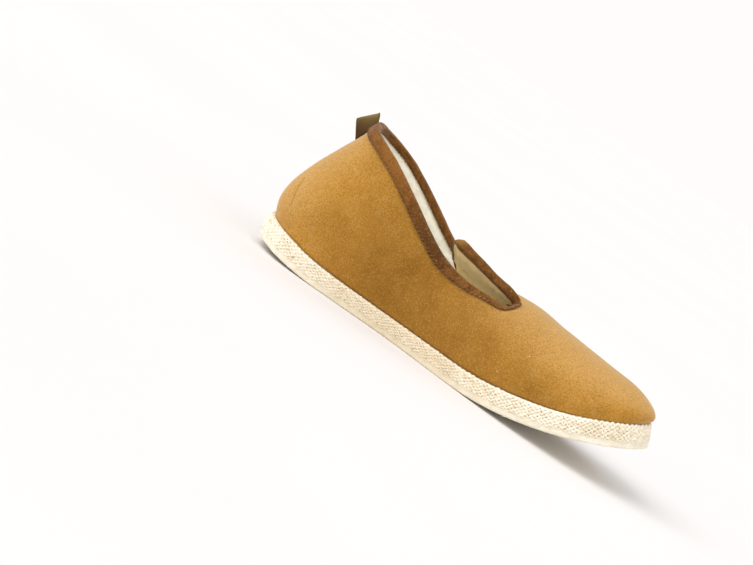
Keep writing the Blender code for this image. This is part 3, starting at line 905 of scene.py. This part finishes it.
def crease_depths(points, triangles):
    """How far each point of a surface sinks into its creases."""
    tree = BVHTree.FromPolygons(points.tolist(), triangles.tolist())
    depths = np.zeros(len(points))
    for _, depth, width, route in CREASES:
        route = route_points(route, CREASE_STEPS)
        line = np.array([tree.find_nearest(Vector(place))[0] for place in route])
        line_tree = point_tree(line)
        found = [line_tree.find(place) for place in points]
        far = np.array([hit[2] for hit in found]) / width
        fade = np.sin(math.pi * (np.array([hit[1] for hit in found]) + 0.5) / len(line)) ** 0.7
        depths += depth * fade * (1 - 0.8 * far**2) * np.exp(-(far**2))
    return depths


@functools.cache
def outer_surface():
    """Suede face of the upper with its creases: points, triangles and normals."""
    suede = settings().suede
    points, triangles = refine(*wall_faces()[0], 6)
    points = give(relax(points, triangles, 6))
    normals = point_normals(points, triangles)
    push = suede.unevenness / MM * (waves(points, 34, 1) + 0.35 * waves(points, 11, 2))
    push -= crease_depths(points, triangles)
    collar = points[collar_loop(points, triangles)]
    push *= smooth_step((distance_to(points, collar) - 1.0) / 8.0)
    points = points + push[:, None] * normals
    return points, triangles, point_normals(points, triangles)


def collar_loop(points, triangles):
    """The higher of a surface's two borders."""
    return max(boundary_loops(triangles), key=lambda loop: points[loop, 2].mean())


@functools.cache
def inner_surface():
    """Face of the upper's wall towards the foot."""
    points, triangles = refine(*wall_faces()[1], 4)
    points = give(relax(points, triangles, 4))
    return points, triangles, point_normals(points, triangles)


class SlipperOperator:
    """What the operators share."""

    bl_options = {"REGISTER", "UNDO"}

    def execute(self, context):
        self.make(context.scene.slipper)
        return {"FINISHED"}


class SLIPPER_OT_suede_upper(SlipperOperator, bpy.types.Operator):
    """Tan suede wall with its tongue in one, its creases and its seam"""

    bl_idname = "slipper.suede_upper"
    bl_label = "Suede upper"

    def make(self, slipper):
        points, triangles, normals = outer_surface()
        backs = points - slipper.suede.wall / MM * normals
        points, faces = shell(points, triangles, backs)
        add_piece("suede_upper", points, faces, tan_suede(), ["upper"])


class SLIPPER_OT_fleece_lining(SlipperOperator, bpy.types.Operator):
    """Cream fleece on the inside of the wall"""

    bl_idname = "slipper.fleece_lining"
    bl_label = "Fleece lining"

    # Millimetres over which the pile rises out of the tape and off the sole
    TAPE_EASE = 3.0
    SOLE_EASE = 9.0
    # Millimetres from the wall to the backing and to the roots of the pile
    BACKING = 0.1
    ROOTS = 0.3

    def make(self, slipper):
        fleece = slipper.fleece
        points, triangles, normals = inner_surface()
        loops = sorted(boundary_loops(triangles), key=lambda loop: points[loop, 2].mean())
        foot, collar = (points[loop] for loop in loops)
        out_of_tape = smooth_step((distance_to(points, collar) - fleece.hem / MM) / self.TAPE_EASE)
        off_the_sole = smooth_step((distance_to(points, foot) + 1.0) / self.SOLE_EASE)
        curl = fleece.curl / MM
        lumps = 0.32 * waves(points, curl, 3) + 0.22 * waves(points, curl / 2.2, 4)
        pile = fleece.pile / MM * (1.0 + lumps) * np.minimum(out_of_tape, off_the_sole)
        face = points + (self.ROOTS + pile)[:, None] * normals
        points, faces = shell(face, triangles, points + self.BACKING * normals)
        lining = add_piece("fleece_lining", points, faces, cream_fleece())


class CollarTape:
    """Frame and changing sizes of the tape round the collar, in millimetres."""

    # Sections of the tape round the collar, and how many neighbours its turn is evened over
    STATIONS = 1100
    TURN_REACH = 12
    # Where the tape gets thinner and narrower towards the dips: X of the start, and length
    SLIM = (-20, 30)
    NARROW = (-32, 46)
    OUTER_DIP = (-20, 10)
    # Length before the tips of the dips where the legs get short
    TIP_LENGTH = 9
    # X of the tongue's top edge, and half of its length
    TONGUE_TOP = (-22, 12)

    def __init__(self, tape):
        outer, outer_triangles, outer_normals = outer_surface()
        inner, inner_triangles, _ = inner_surface()
        self.trees = {
            1: BVHTree.FromPolygons(outer.tolist(), outer_triangles.tolist()),
            -1: BVHTree.FromPolygons(inner.tolist(), inner_triangles.tolist()),
        }
        loop = collar_loop(outer, outer_triangles)
        rim = even_curve(np.hstack((outer[loop], 3 * outer_normals[loop])), self.STATIONS)
        rim = eased(rim, 2)
        self.rim, out = rim[:, :3], eased(rim[:, 3:], self.TURN_REACH)
        along = units(np.roll(self.rim, -1, axis=0) - np.roll(self.rim, 1, axis=0))
        self.out = units(out - (out * along).sum(1, keepdims=True) * along)
        self.into = units(eased(np.cross(self.out, along), self.TURN_REACH))
        self.wall = tape.wall / MM
        self.measure(tape)
        self.cut_hem(tape)

    def past(self, start, length):
        """Nothing up to a place along the slipper, rising to one over a length."""
        return smooth_step((self.rim[:, 0] - start) / length)

    def measure(self, tape):
        """Gap, thickness, height of the cap and widths of the two legs at each section."""
        ahead = self.rim[:, 0]
        slim = self.past(*self.SLIM)
        tip = smooth_step((ahead.max() - ahead) / self.TIP_LENGTH)
        top, reach = self.TONGUE_TOP
        tongue_top = smooth_step((self.into[:, 0] - 0.45) / 0.3) * (np.abs(ahead - top) < reach)
        outer_dip = smooth_step(self.rim[:, 1] / 10) * self.past(*self.OUTER_DIP)
        self.gap = tape.gap / MM * (1 - 0.7 * tongue_top)
        self.thick = tape.tape / MM * (1 - 0.25 * slim) * (1 - 0.6 * tongue_top)
        self.cap = tape.cap / MM * (1 - 0.45 * slim) * (1 - 0.4 * tongue_top)
        self.widths = {
            1: tape.outer_width / MM * (1 - 0.38 * self.past(*self.NARROW)) * (0.75 + 0.25 * tip),
            -1: tape.inner_width / MM * (0.3 + 0.7 * tip) * (1 - 0.6 * tongue_top) * (1 - 0.65 * outer_dip),
        }

    def cut_hem(self, tape):
        """Number of stitches, and the ragged line of the hem that they draw in."""
        run = np.linalg.norm(np.roll(self.rim, -1, axis=0) - self.rim, axis=1).sum()
        self.stitches = round(run / (tape.stitch / MM))
        beat = np.cos(2 * math.pi * self.stitches * np.arange(self.STATIONS) / self.STATIONS)
        self.hem = waves(self.rim, 6.0, 5) * 0.25 + waves(self.rim, 1.8, 6) * 0.2 + 0.15 * beat

    def leg(self, side, share, lift):
        """Points at a share of a leg's width, lifted off the wall."""
        width = self.widths[side] + self.hem * smooth_step((share - 0.5) * 2)
        start = self.rim if side > 0 else self.rim - self.wall * self.out
        places = start + (share * width)[:, None] * self.into
        row = []
        for place, way, lifted in zip(places, side * self.out, self.gap + lift):
            found, normal, _, _ = self.trees[side].find_nearest(Vector(place))
            normal = np.array(normal)
            if normal @ way < 0:
                normal = -normal
            row.append(np.array(found) + lifted * units(normal + way))
        return np.array(row)


class SLIPPER_OT_collar_binding(SlipperOperator, bpy.types.Operator):
    """Brown suede tape folded over the collar, and the stitches of its hem"""

    bl_idname = "slipper.collar_binding"
    bl_label = "Collar binding"

    # Each leg of the tape from its hem up: share of the width and share of the thickness
    LEG = (
        (1.0, 0.12), (0.99, 0.5), (0.95, 0.72), (0.87, 0.86), (0.78, 0.92), (0.65, 1.0), (0.45, 1.08),
        (0.25, 1.05), (0.1, 1.0),
    )
    # Degrees round the cap from the outer to the inner leg
    CAP_ANGLES = (25, 45, 65, 90, 115, 135, 155)
    # Underside: share of each leg's width where it begins, and its height over the rim in millimetres
    UNDER = 0.6
    UNDER_RISE = 0.3
    # Overcast stitch: share of the tape's width and share of its thickness
    STITCH = ((0.64, 0.75), (0.74, 1.02), (0.86, 1.0), (0.97, 0.75), (1.05, 0.25), (1.08, -0.15))
    THREAD_SIDES = 6
    # Share of a stitch's length that the thread slants by
    SLANT = 0.55
    # Loose hairs, and the radius of one at its root in millimetres
    HAIRS = 12
    HAIR = 0.06

    def make(self, slipper):
        tape = CollarTape(slipper.binding)
        grid = self.fold(tape)
        points, faces = grid.reshape(-1, 3), skin(*grid.shape[:2], closed=True)
        add_piece("suede_binding", points, faces, brown_suede(), ["collar_binding"])
        self.sew(tape, slipper.binding.thread / MM / 2)
        self.shed(grid[:, len(self.LEG) + 3], tape.into)

    def fold(self, tape):
        """Sections of the tape from the outer hem over the cap to the inner hem, and back beneath."""
        puff = 1.0 + 0.08 * waves(tape.rim, 9.0, 7)
        half = tape.wall / 2
        centre = tape.rim - half * tape.out
        rows = [tape.leg(1, share, tape.thick * lift * puff) for share, lift in self.LEG]
        reach = (half + tape.gap + tape.thick) * puff
        for turn in np.radians(self.CAP_ANGLES):
            sideways = (reach * math.cos(turn))[:, None] * tape.out
            rows.append(centre + sideways - (tape.cap * math.sin(turn) * puff)[:, None] * tape.into)
        rows += [tape.leg(-1, share, tape.thick * lift * puff) for share, lift in reversed(self.LEG)]
        rows.append(tape.leg(-1, self.UNDER, 0.0))
        across = (half + tape.gap)[:, None] * tape.out
        rows += [centre - sign * across - self.UNDER_RISE * tape.into for sign in (1, -1)]
        rows.append(tape.leg(1, self.UNDER, 0.0))
        return np.stack(rows, axis=1)

    def sew(self, tape, thread):
        """Short slanted stitches over the hem of the tape."""
        lines = np.array([tape.leg(1, share, tape.thick * lift) for share, lift in self.STITCH])
        stations, steps = tape.STATIONS, len(lines)
        share = np.linspace(0, 1, steps)
        pitch = stations / tape.stitches
        at = (np.arange(tape.stitches)[:, None] + self.SLANT * share[None]) * pitch
        low = np.floor(at).astype(int)
        part = (at - low)[..., None]
        step = np.arange(steps)[None]
        paths = lines[step, low % stations] * (1 - part) + lines[step, (low + 1) % stations] * part
        swell = thread * (0.6 + 0.4 * np.sin(math.pi * share))
        radii = np.broadcast_to(swell[None, :, None], (tape.stitches, steps, self.THREAD_SIDES))
        points, faces = sweep(paths, tape.out[low % stations], radii)
        add_piece("binding_stitches", points, faces, brown_thread())

    def shed(self, ridge, into):
        """A few loose hairs of the fleece that cross the tape."""
        draw = np.random.default_rng(5)
        steps = 6
        station = draw.integers(0, len(ridge), self.HAIRS)
        share = np.linspace(0, 1, steps)[None, :, None]
        ahead = units(draw.normal(0.0, 1.0, (self.HAIRS, 3)) - 0.6 * into[station])
        bend = draw.normal(0.0, 0.5, (self.HAIRS, 3))
        size = draw.uniform(3.0, 7.0, (self.HAIRS, 1, 1))
        paths = ridge[station][:, None] + size * ((share - 0.25) * ahead[:, None] + share**2 * bend[:, None])
        radii = np.broadcast_to(self.HAIR * (1 - 0.7 * share), (self.HAIRS, steps, 3))
        points, faces = sweep(paths, np.broadcast_to(into[station][:, None], paths.shape), radii)
        add_piece("loose_hairs", points, faces, cream_fleece())


class SLIPPER_OT_braided_band(SlipperOperator, bpy.types.Operator):
    """Flat braid of cream yarns round the side of the sole, over its filler"""

    bl_idname = "slipper.braided_band"
    bl_label = "Braided band"

    STATIONS = 1700
    SIDES = 7
    # Millimetres that the yarns' middles lie behind the side of the sole
    SET_BACK = 0.6
    # Share of a yarn's radius that the braid keeps below the upper edge
    TOP_INSET = 0.7
    # Millimetres that a yarn wanders outwards and upwards, and share that its size varies
    WANDER_OUT = 0.12
    WANDER_UP = 0.22
    SIZE_VARIES = 0.22
    # Share of a yarn's radius that its plies bulge, and the turn from yarn to yarn in radians
    PLY_BULGE = 0.2
    PLY_TURN = 1.9
    # Rings of the filler: share of the height, and millimetres behind the side of the sole
    FILLER = ((0.0, 2.0), (0.12, 1.2), (0.88, 1.2), (1.0, 2.0))
    FILLER_STEP = 5
    FILLER_COLUMNS = 16

    def make(self, slipper):
        braid = slipper.braid
        lower, upper = sole_loops("midsole", self.STATIONS)
        middle = (lower + upper) / 2
        out = outward(middle)
        radius = braid.yarn / MM / 2
        rise = units(upper - lower)
        low = lower + (radius - braid.overlap / MM) * rise
        high = upper - self.TOP_INSET * radius * rise
        height = np.linalg.norm(high - low, axis=1)
        run = np.linalg.norm(np.roll(middle, -1, axis=0) - middle, axis=1).sum()
        repeats = round(run * braid.slope / (2 * height.mean()))
        paths = []
        sizes = []
        for yarn in range(braid.yarns):
            turn = (repeats * np.arange(self.STATIONS) / self.STATIONS + yarn / braid.yarns) % 1.0
            way = np.where(turn < 0.5, 1.0, -1.0)
            share = 1 - np.abs(2 * turn - 1)
            edge = smooth_step(np.minimum(share, 1 - share) * 8)
            over = way * edge * np.cos(2 * math.pi * braid.yarns * turn)
            axis = low + share[:, None] * (high - low)
            lift = braid.depth / MM * over - self.SET_BACK + self.WANDER_OUT * waves(axis, 3.0, 20 + yarn)
            across = self.WANDER_UP * waves(axis, 2.5, 40 + yarn)
            paths.append(axis + across[:, None] * rise + lift[:, None] * out)
            sizes.append(radius * (1.0 + self.SIZE_VARIES * waves(axis, 2.2, 60 + yarn)))
        paths = np.array(paths)
        corner = np.arange(self.SIDES) * 2 * math.pi / self.SIDES
        plies = round(run / (braid.ply / MM))
        twist = 2 * math.pi * plies * np.arange(self.STATIONS) / self.STATIONS
        start = np.arange(braid.yarns) * self.PLY_TURN
        turns = 2 * corner[None, None] - twist[None, :, None] - start[:, None, None]
        plied = 1 + self.PLY_BULGE * np.cos(turns)
        radii = np.array(sizes)[..., None] * plied
        points, faces = sweep(paths, np.broadcast_to(out, paths.shape), radii, closed=True)
        add_piece("braided_band", points, faces, cream_cord(), ["midsole"])
        self.fill(lower, upper, out)

    def fill(self, lower, upper, out):
        """Plain layer behind the braid."""
        rings = [lower + share * (upper - lower) - inset * out for share, inset in self.FILLER]
        points, faces = slab([ring[:: self.FILLER_STEP] for ring in rings], self.FILLER_COLUMNS)
        add_piece("sole_filler", points, faces, cream_cord())


class SLIPPER_OT_felt_outsole(SlipperOperator, bpy.types.Operator):
    """Pressed felt under the braid, with its loose fibres"""

    bl_idname = "slipper.felt_outsole"
    bl_label = "Felt outsole"

    STATIONS = 720
    COLUMNS = 28
    # Degrees round each edge, and shares of the side between the two
    ROUND_ANGLES = (0, 18, 36, 54, 72, 90)
    SIDE = (0.25, 0.5, 0.75)
    # Millimetres: radius of a loose fibre at its root, and its lowest place above the floor
    FIBRE = 0.07
    FLOOR_GAP = 0.15

    def make(self, slipper):
        felt = slipper.felt
        lower, upper = sole_loops("outsole", self.STATIONS)
        out = outward(lower)
        rise = units(upper - lower)
        sizes = felt.round / MM, felt.top_round / MM
        upper = upper + (sizes[0] - sizes[1]) * out
        ends = ((lower, rise, self.ROUND_ANGLES), (upper, -rise, self.ROUND_ANGLES[::-1]))
        rings = []
        for radius, (edge, way, angles) in zip(sizes, ends):
            for turn in np.radians(angles):
                rings.append(edge + radius * (math.sin(turn) * out + (1 - math.cos(turn)) * way))
        half = len(self.ROUND_ANGLES)
        rings[half:half] = [rings[half - 1] * (1 - share) + rings[half] * share for share in self.SIDE]
        for number in range(1, len(rings) - 1):
            uneven = 0.22 * waves(rings[number], 4.0, 9) + 0.14 * waves(rings[number], 1.5, 10)
            rings[number] = rings[number] + uneven[:, None] * out
        points, faces = slab(rings, self.COLUMNS)
        add_piece("felt_outsole", points, faces, cream_felt(), ["outsole"])
        self.fray(felt, rings, out)

    def fray(self, felt, rings, out):
        """Loose fibres that stand out of the felt's side."""
        draw = np.random.default_rng(11)
        count, steps = felt.fibres, 5
        station = draw.integers(0, self.STATIONS, count)
        level = draw.choice(np.arange(2, len(rings) - 1), count)
        grid = np.array(rings)
        start = grid[level, station] - 0.2 * out[station]
        reach = felt.fibre / MM * draw.uniform(0.4, 1.2, count)
        along = np.roll(grid[level], -1, axis=1)[np.arange(count), station] - grid[level, station]
        along = units(along) * draw.choice((-1.0, 1.0), count)[:, None]
        lift = draw.normal(0.0, 0.35, (count, 1)) * np.array((0.0, 0.0, 1.0))
        ahead = units(out[station] * draw.uniform(0.15, 0.8, (count, 1)) + along + lift)
        curl = draw.normal(0.0, 0.45, (count, 3))
        share = np.linspace(0, 1, steps)[None, :, None]
        course = share * ahead[:, None] + share**2 * curl[:, None] * 0.5
        paths = start[:, None] + reach[:, None, None] * course
        paths[..., 2] = np.maximum(paths[..., 2], self.FLOOR_GAP)
        radii = np.broadcast_to(self.FIBRE * (1 - 0.6 * share), (count, steps, 3))
        points, faces = sweep(paths, np.broadcast_to(out[station][:, None], paths.shape), radii)
        add_piece("felt_fibres", points, faces, cream_felt())


class SLIPPER_OT_fleece_insole(SlipperOperator, bpy.types.Operator):
    """Padded fleece sock that the foot stands on"""

    bl_idname = "slipper.fleece_insole"
    bl_label = "Fleece insole"

    STATIONS = 400
    COLUMNS = 64
    # Millimetres: how far below the upper edge the top begins, and how far its pile sinks
    TOP_DEPTH = 0.4
    SINK = 0.2
    # Side from below: share of the height, and bulge in millimetres
    PROFILE = ((0.0, 0.0), (0.1, 0.8), (0.35, 1.3), (0.65, 1.3), (0.9, 0.8), (1.0, 0.0))

    def make(self, slipper):
        lower, upper = sole_loops("insole", self.STATIONS)
        out = outward(lower)
        rings = [lower + share * (upper - lower) + bulge * out for share, bulge in self.PROFILE]
        points, faces = slab(rings, self.COLUMNS)
        fleece = slipper.fleece
        curl = fleece.curl / MM
        top = upper[np.argsort(upper[:, 0])]
        above = points[:, 2] > np.interp(points[:, 0], top[:, 0], top[:, 2]) - self.TOP_DEPTH
        lumps = 0.35 * waves(points, curl, 12) + 0.25 * waves(points, curl / 2.2, 13)
        points[:, 2] += np.where(above, lumps - self.SINK, 0.0)
        piece = add_piece("fleece_insole", points, faces, cream_fleece(), ["insole"])


class SLIPPER_OT_ribbon_loop(SlipperOperator, bpy.types.Operator):
    """Folded ribbon in the back seam"""

    bl_idname = "slipper.ribbon_loop"
    bl_label = "Ribbon loop"

    # Shares of the ribbon's width where its sections are
    STATIONS = (0.0, 0.04, 0.15, 0.3, 0.45, 0.6, 0.75, 0.9, 0.96, 1.0)
    LEG_STEPS = 8
    FOLD_STEPS = 13
    # Share of a layer's thickness to each side of its middle, along the ribbon and at its edges
    HALF = 0.5
    HALF_AT_EDGE = 0.35
    # Strip of the heel that the ribbon stands on: half of its width and foremost X, in millimetres
    HEEL_HALF_WIDTH = 2.5
    HEEL_FRONT = -85
    # Millimetres off the heel: the lower edge, what the upper edge adds, and the fold
    HEEL_GAP = 0.5
    HEEL_RISE = 1.6
    FOLD_GAP = 2.1
    # Millimetres: how much lower the upper edge stands, half of the slit, and how far the fold waves
    DROP = 6.0
    SLIT = 0.2
    BOW = 0.35

    def make(self, slipper):
        ribbon = slipper.ribbon
        points, _, _ = outer_surface()
        back = points[(np.abs(points[:, 1]) < self.HEEL_HALF_WIDTH) & (points[:, 0] < self.HEEL_FRONT)]
        back = back[np.argsort(back[:, 2])]

        def heel(z):
            return np.array((np.interp(z, back[:, 2], back[:, 0]), 0.0, z))

        base, width = ribbon.base / MM, ribbon.width / MM
        steep = heel(base + width) - heel(base)
        out = units(np.array((-steep[2], 0.0, steep[0])))
        grid = np.array([self.section(ribbon, at, heel(base + at * width), out) for at in self.STATIONS])
        stations, corners = grid.shape[:2]
        faces = skin(stations, corners)
        last = (stations - 1) * corners
        for row in range(corners // 2 - 1):
            under = corners - 1 - row
            faces.append((row + 1, row, under, under - 1))
            faces.append((last + row, last + row + 1, last + under - 1, last + under))
        loop = add_piece("ribbon_pull", grid.reshape(-1, 3), faces, olive_ribbon(), ["pull_loop"])

    def section(self, ribbon, at, heel, out):
        """Outline of the folded layer at a share of the ribbon's width."""
        layer, fold = ribbon.layer / MM, ribbon.fold / MM
        rise = np.array((-math.sin(ribbon.lean), 0.0, math.cos(ribbon.lean)))
        side = np.array((0.0, 1.0, 0.0))
        turn = np.linspace(0.0, math.pi, self.FOLD_STEPS)
        share = np.linspace(0.0, 1.0, self.LEG_STEPS, endpoint=False)
        foot = heel + (self.HEEL_GAP + self.HEEL_RISE * at**2) * out
        top = heel + self.FOLD_GAP * out + (ribbon.height / MM - self.DROP * at) * rise
        middle = top - (fold + layer) * rise
        legs = foot + share[:, None] * (middle - foot)
        spread = (fold - self.SLIT) * smooth_step(share * 1.1 - 0.1)
        sway = np.concatenate((share, np.ones(self.FOLD_STEPS), share[::-1]))
        sway *= self.BOW * math.sin(4.0 * at + 0.6)
        half = self.HALF_AT_EDGE if at in (0.0, 1.0) else self.HALF
        lines = []
        for offset in (half, -half):
            reach = layer * (0.5 + offset)
            apart = (self.SLIT + reach + spread)[:, None] * side
            over = np.cos(turn)[:, None] * side + np.sin(turn)[:, None] * rise
            path = np.concatenate((legs + apart, middle + (fold + reach) * over, legs[::-1] - apart[::-1]))
            path[:, 1] += sway
            lines.append(path)
        return np.concatenate((lines[0], lines[1][::-1]))


class SLIPPER_OT_stage(SlipperOperator, bpy.types.Operator):
    """Pale floor, soft lights and the camera at the picture's angle"""

    bl_idname = "slipper.stage"
    bl_label = "Stage"

    SKY_STRENGTH = 1.15
    # Sine of the height above the horizon, and the colour there
    SKY = (
        (0.0, (0.87, 0.845, 0.835)),
        (0.13, (0.87, 0.845, 0.835)),
        (0.26, (0.30, 0.29, 0.285)),
        (0.50, (0.45, 0.44, 0.43)),
        (0.80, (1.0, 0.98, 0.96)),
    )
    # Suns: name, direction, strength, and spread in degrees
    SUNS = (("key", (-0.58, -0.4, 0.7), 1.95, 50), ("fill", (0.75, -0.5, 0.4), 0.5, 70))
    # Half of the floor's width in metres
    FLOOR_REACH = 12.0

    def make(self, slipper):
        stage = slipper.stage
        mesh = bpy.data.meshes.new("floor")
        far = self.FLOOR_REACH
        corners = [(-far, -far, 0), (far, -far, 0), (far, far, 0), (-far, far, 0)]
        mesh.from_pydata(corners, [], [(0, 1, 2, 3)])
        mesh.materials.append(pale_floor())
        floor = bpy.data.objects.new("floor", mesh)
        bpy.context.scene.collection.objects.link(floor)
        self.add_camera(stage)
        for sun in self.SUNS:
            self.add_sun(*sun)
        scene = bpy.context.scene
        scene.world = self.make_world()
        scene.view_settings.view_transform = "Standard"

    def make_world(self):
        """A white paper sweep round the horizon, and a large soft light overhead."""
        world = bpy.data.worlds.new("studio")
        world.use_nodes = True
        tree = world.node_tree
        way = tree.nodes.new("ShaderNodeTexCoord")
        parts = tree.nodes.new("ShaderNodeSeparateXYZ")
        ramp = tree.nodes.new("ShaderNodeValToRGB").color_ramp
        while len(ramp.elements) < len(self.SKY):
            ramp.elements.new(1.0)
        for stop, (height, tint) in zip(ramp.elements, self.SKY):
            stop.position = height
            stop.color = (*tint, 1.0)
        sky = tree.nodes["Background"]
        sky.inputs["Strength"].default_value = self.SKY_STRENGTH
        tree.links.new(way.outputs["Generated"], parts.inputs[0])
        tree.links.new(parts.outputs["Z"], tree.nodes["Color Ramp"].inputs[0])
        tree.links.new(tree.nodes["Color Ramp"].outputs[0], sky.inputs["Color"])
        return world

    def add_camera(self, stage):
        """A camera set back from its target, rolled, and turned to put the target on its pixel."""
        lens = bpy.data.cameras.new("camera")
        lens.sensor_width = 36.0
        lens.lens = stage.focal * lens.sensor_width / PHOTO_WIDTH
        camera = bpy.data.objects.new("camera", lens)
        bpy.context.scene.collection.objects.link(camera)
        level, height = math.cos(stage.elevation), math.sin(stage.elevation)
        back = Vector((math.sin(stage.azimuth) * level, -math.cos(stage.azimuth) * level, height))
        across = (stage.target_pixel[0] - PHOTO_WIDTH / 2) / stage.focal
        down = (stage.target_pixel[1] - PHOTO_HEIGHT / 2) / stage.focal
        facing = (-back).to_track_quat("-Z", "Y").to_matrix()
        rolled = facing @ Euler((0, 0, stage.roll)).to_matrix()
        aimed = rolled @ Euler((math.atan(down), math.atan(across), 0)).to_matrix()
        place = Vector(stage.target) + back * stage.distance
        camera.matrix_world = Matrix.Translation(place) @ aimed.to_4x4()
        bpy.context.scene.camera = camera

    def add_sun(self, name, way, power, spread):
        """A wide soft light from a direction."""
        lamp = bpy.data.lights.new(name, "SUN")
        lamp.energy = power
        lamp.angle = math.radians(spread)
        light = bpy.data.objects.new(name, lamp)
        light.location = Vector(way) * 2
        light.rotation_euler = (-Vector(way)).to_track_quat("-Z", "Y").to_euler()
        bpy.context.scene.collection.objects.link(light)


OPERATORS = (
    SLIPPER_OT_suede_upper,
    SLIPPER_OT_fleece_lining,
    SLIPPER_OT_collar_binding,
    SLIPPER_OT_braided_band,
    SLIPPER_OT_felt_outsole,
    SLIPPER_OT_fleece_insole,
    SLIPPER_OT_ribbon_loop,
    SLIPPER_OT_stage,
)


class VIEW3D_PT_slipper(bpy.types.Panel):
    """Lists the pieces of the slipper"""

    bl_label = "Slipper"
    bl_space_type = "VIEW_3D"
    bl_region_type = "UI"
    bl_category = "Slipper"

    def draw(self, context):
        for operator in OPERATORS:
            self.layout.operator(operator.bl_idname)


CLASSES = (
    SuedeSettings,
    BindingSettings,
    FleeceSettings,
    BraidSettings,
    FeltSettings,
    RibbonSettings,
    StageSettings,
    SlipperSettings,
    *OPERATORS,
    VIEW3D_PT_slipper,
)


def register():
    for made in CLASSES:
        bpy.utils.register_class(made)
    bpy.types.Scene.slipper = PointerProperty(
        type=SlipperSettings, name="Slipper", description="Sizes and colours of the slipper"
    )


def unregister():
    del bpy.types.Scene.slipper
    for made in reversed(CLASSES):
        bpy.utils.unregister_class(made)


def main():
    register()
    for operator in OPERATORS:
        name = operator.bl_idname.split(".")[1]
        getattr(bpy.ops.slipper, name)()


if __name__ == "__main__":
    main()
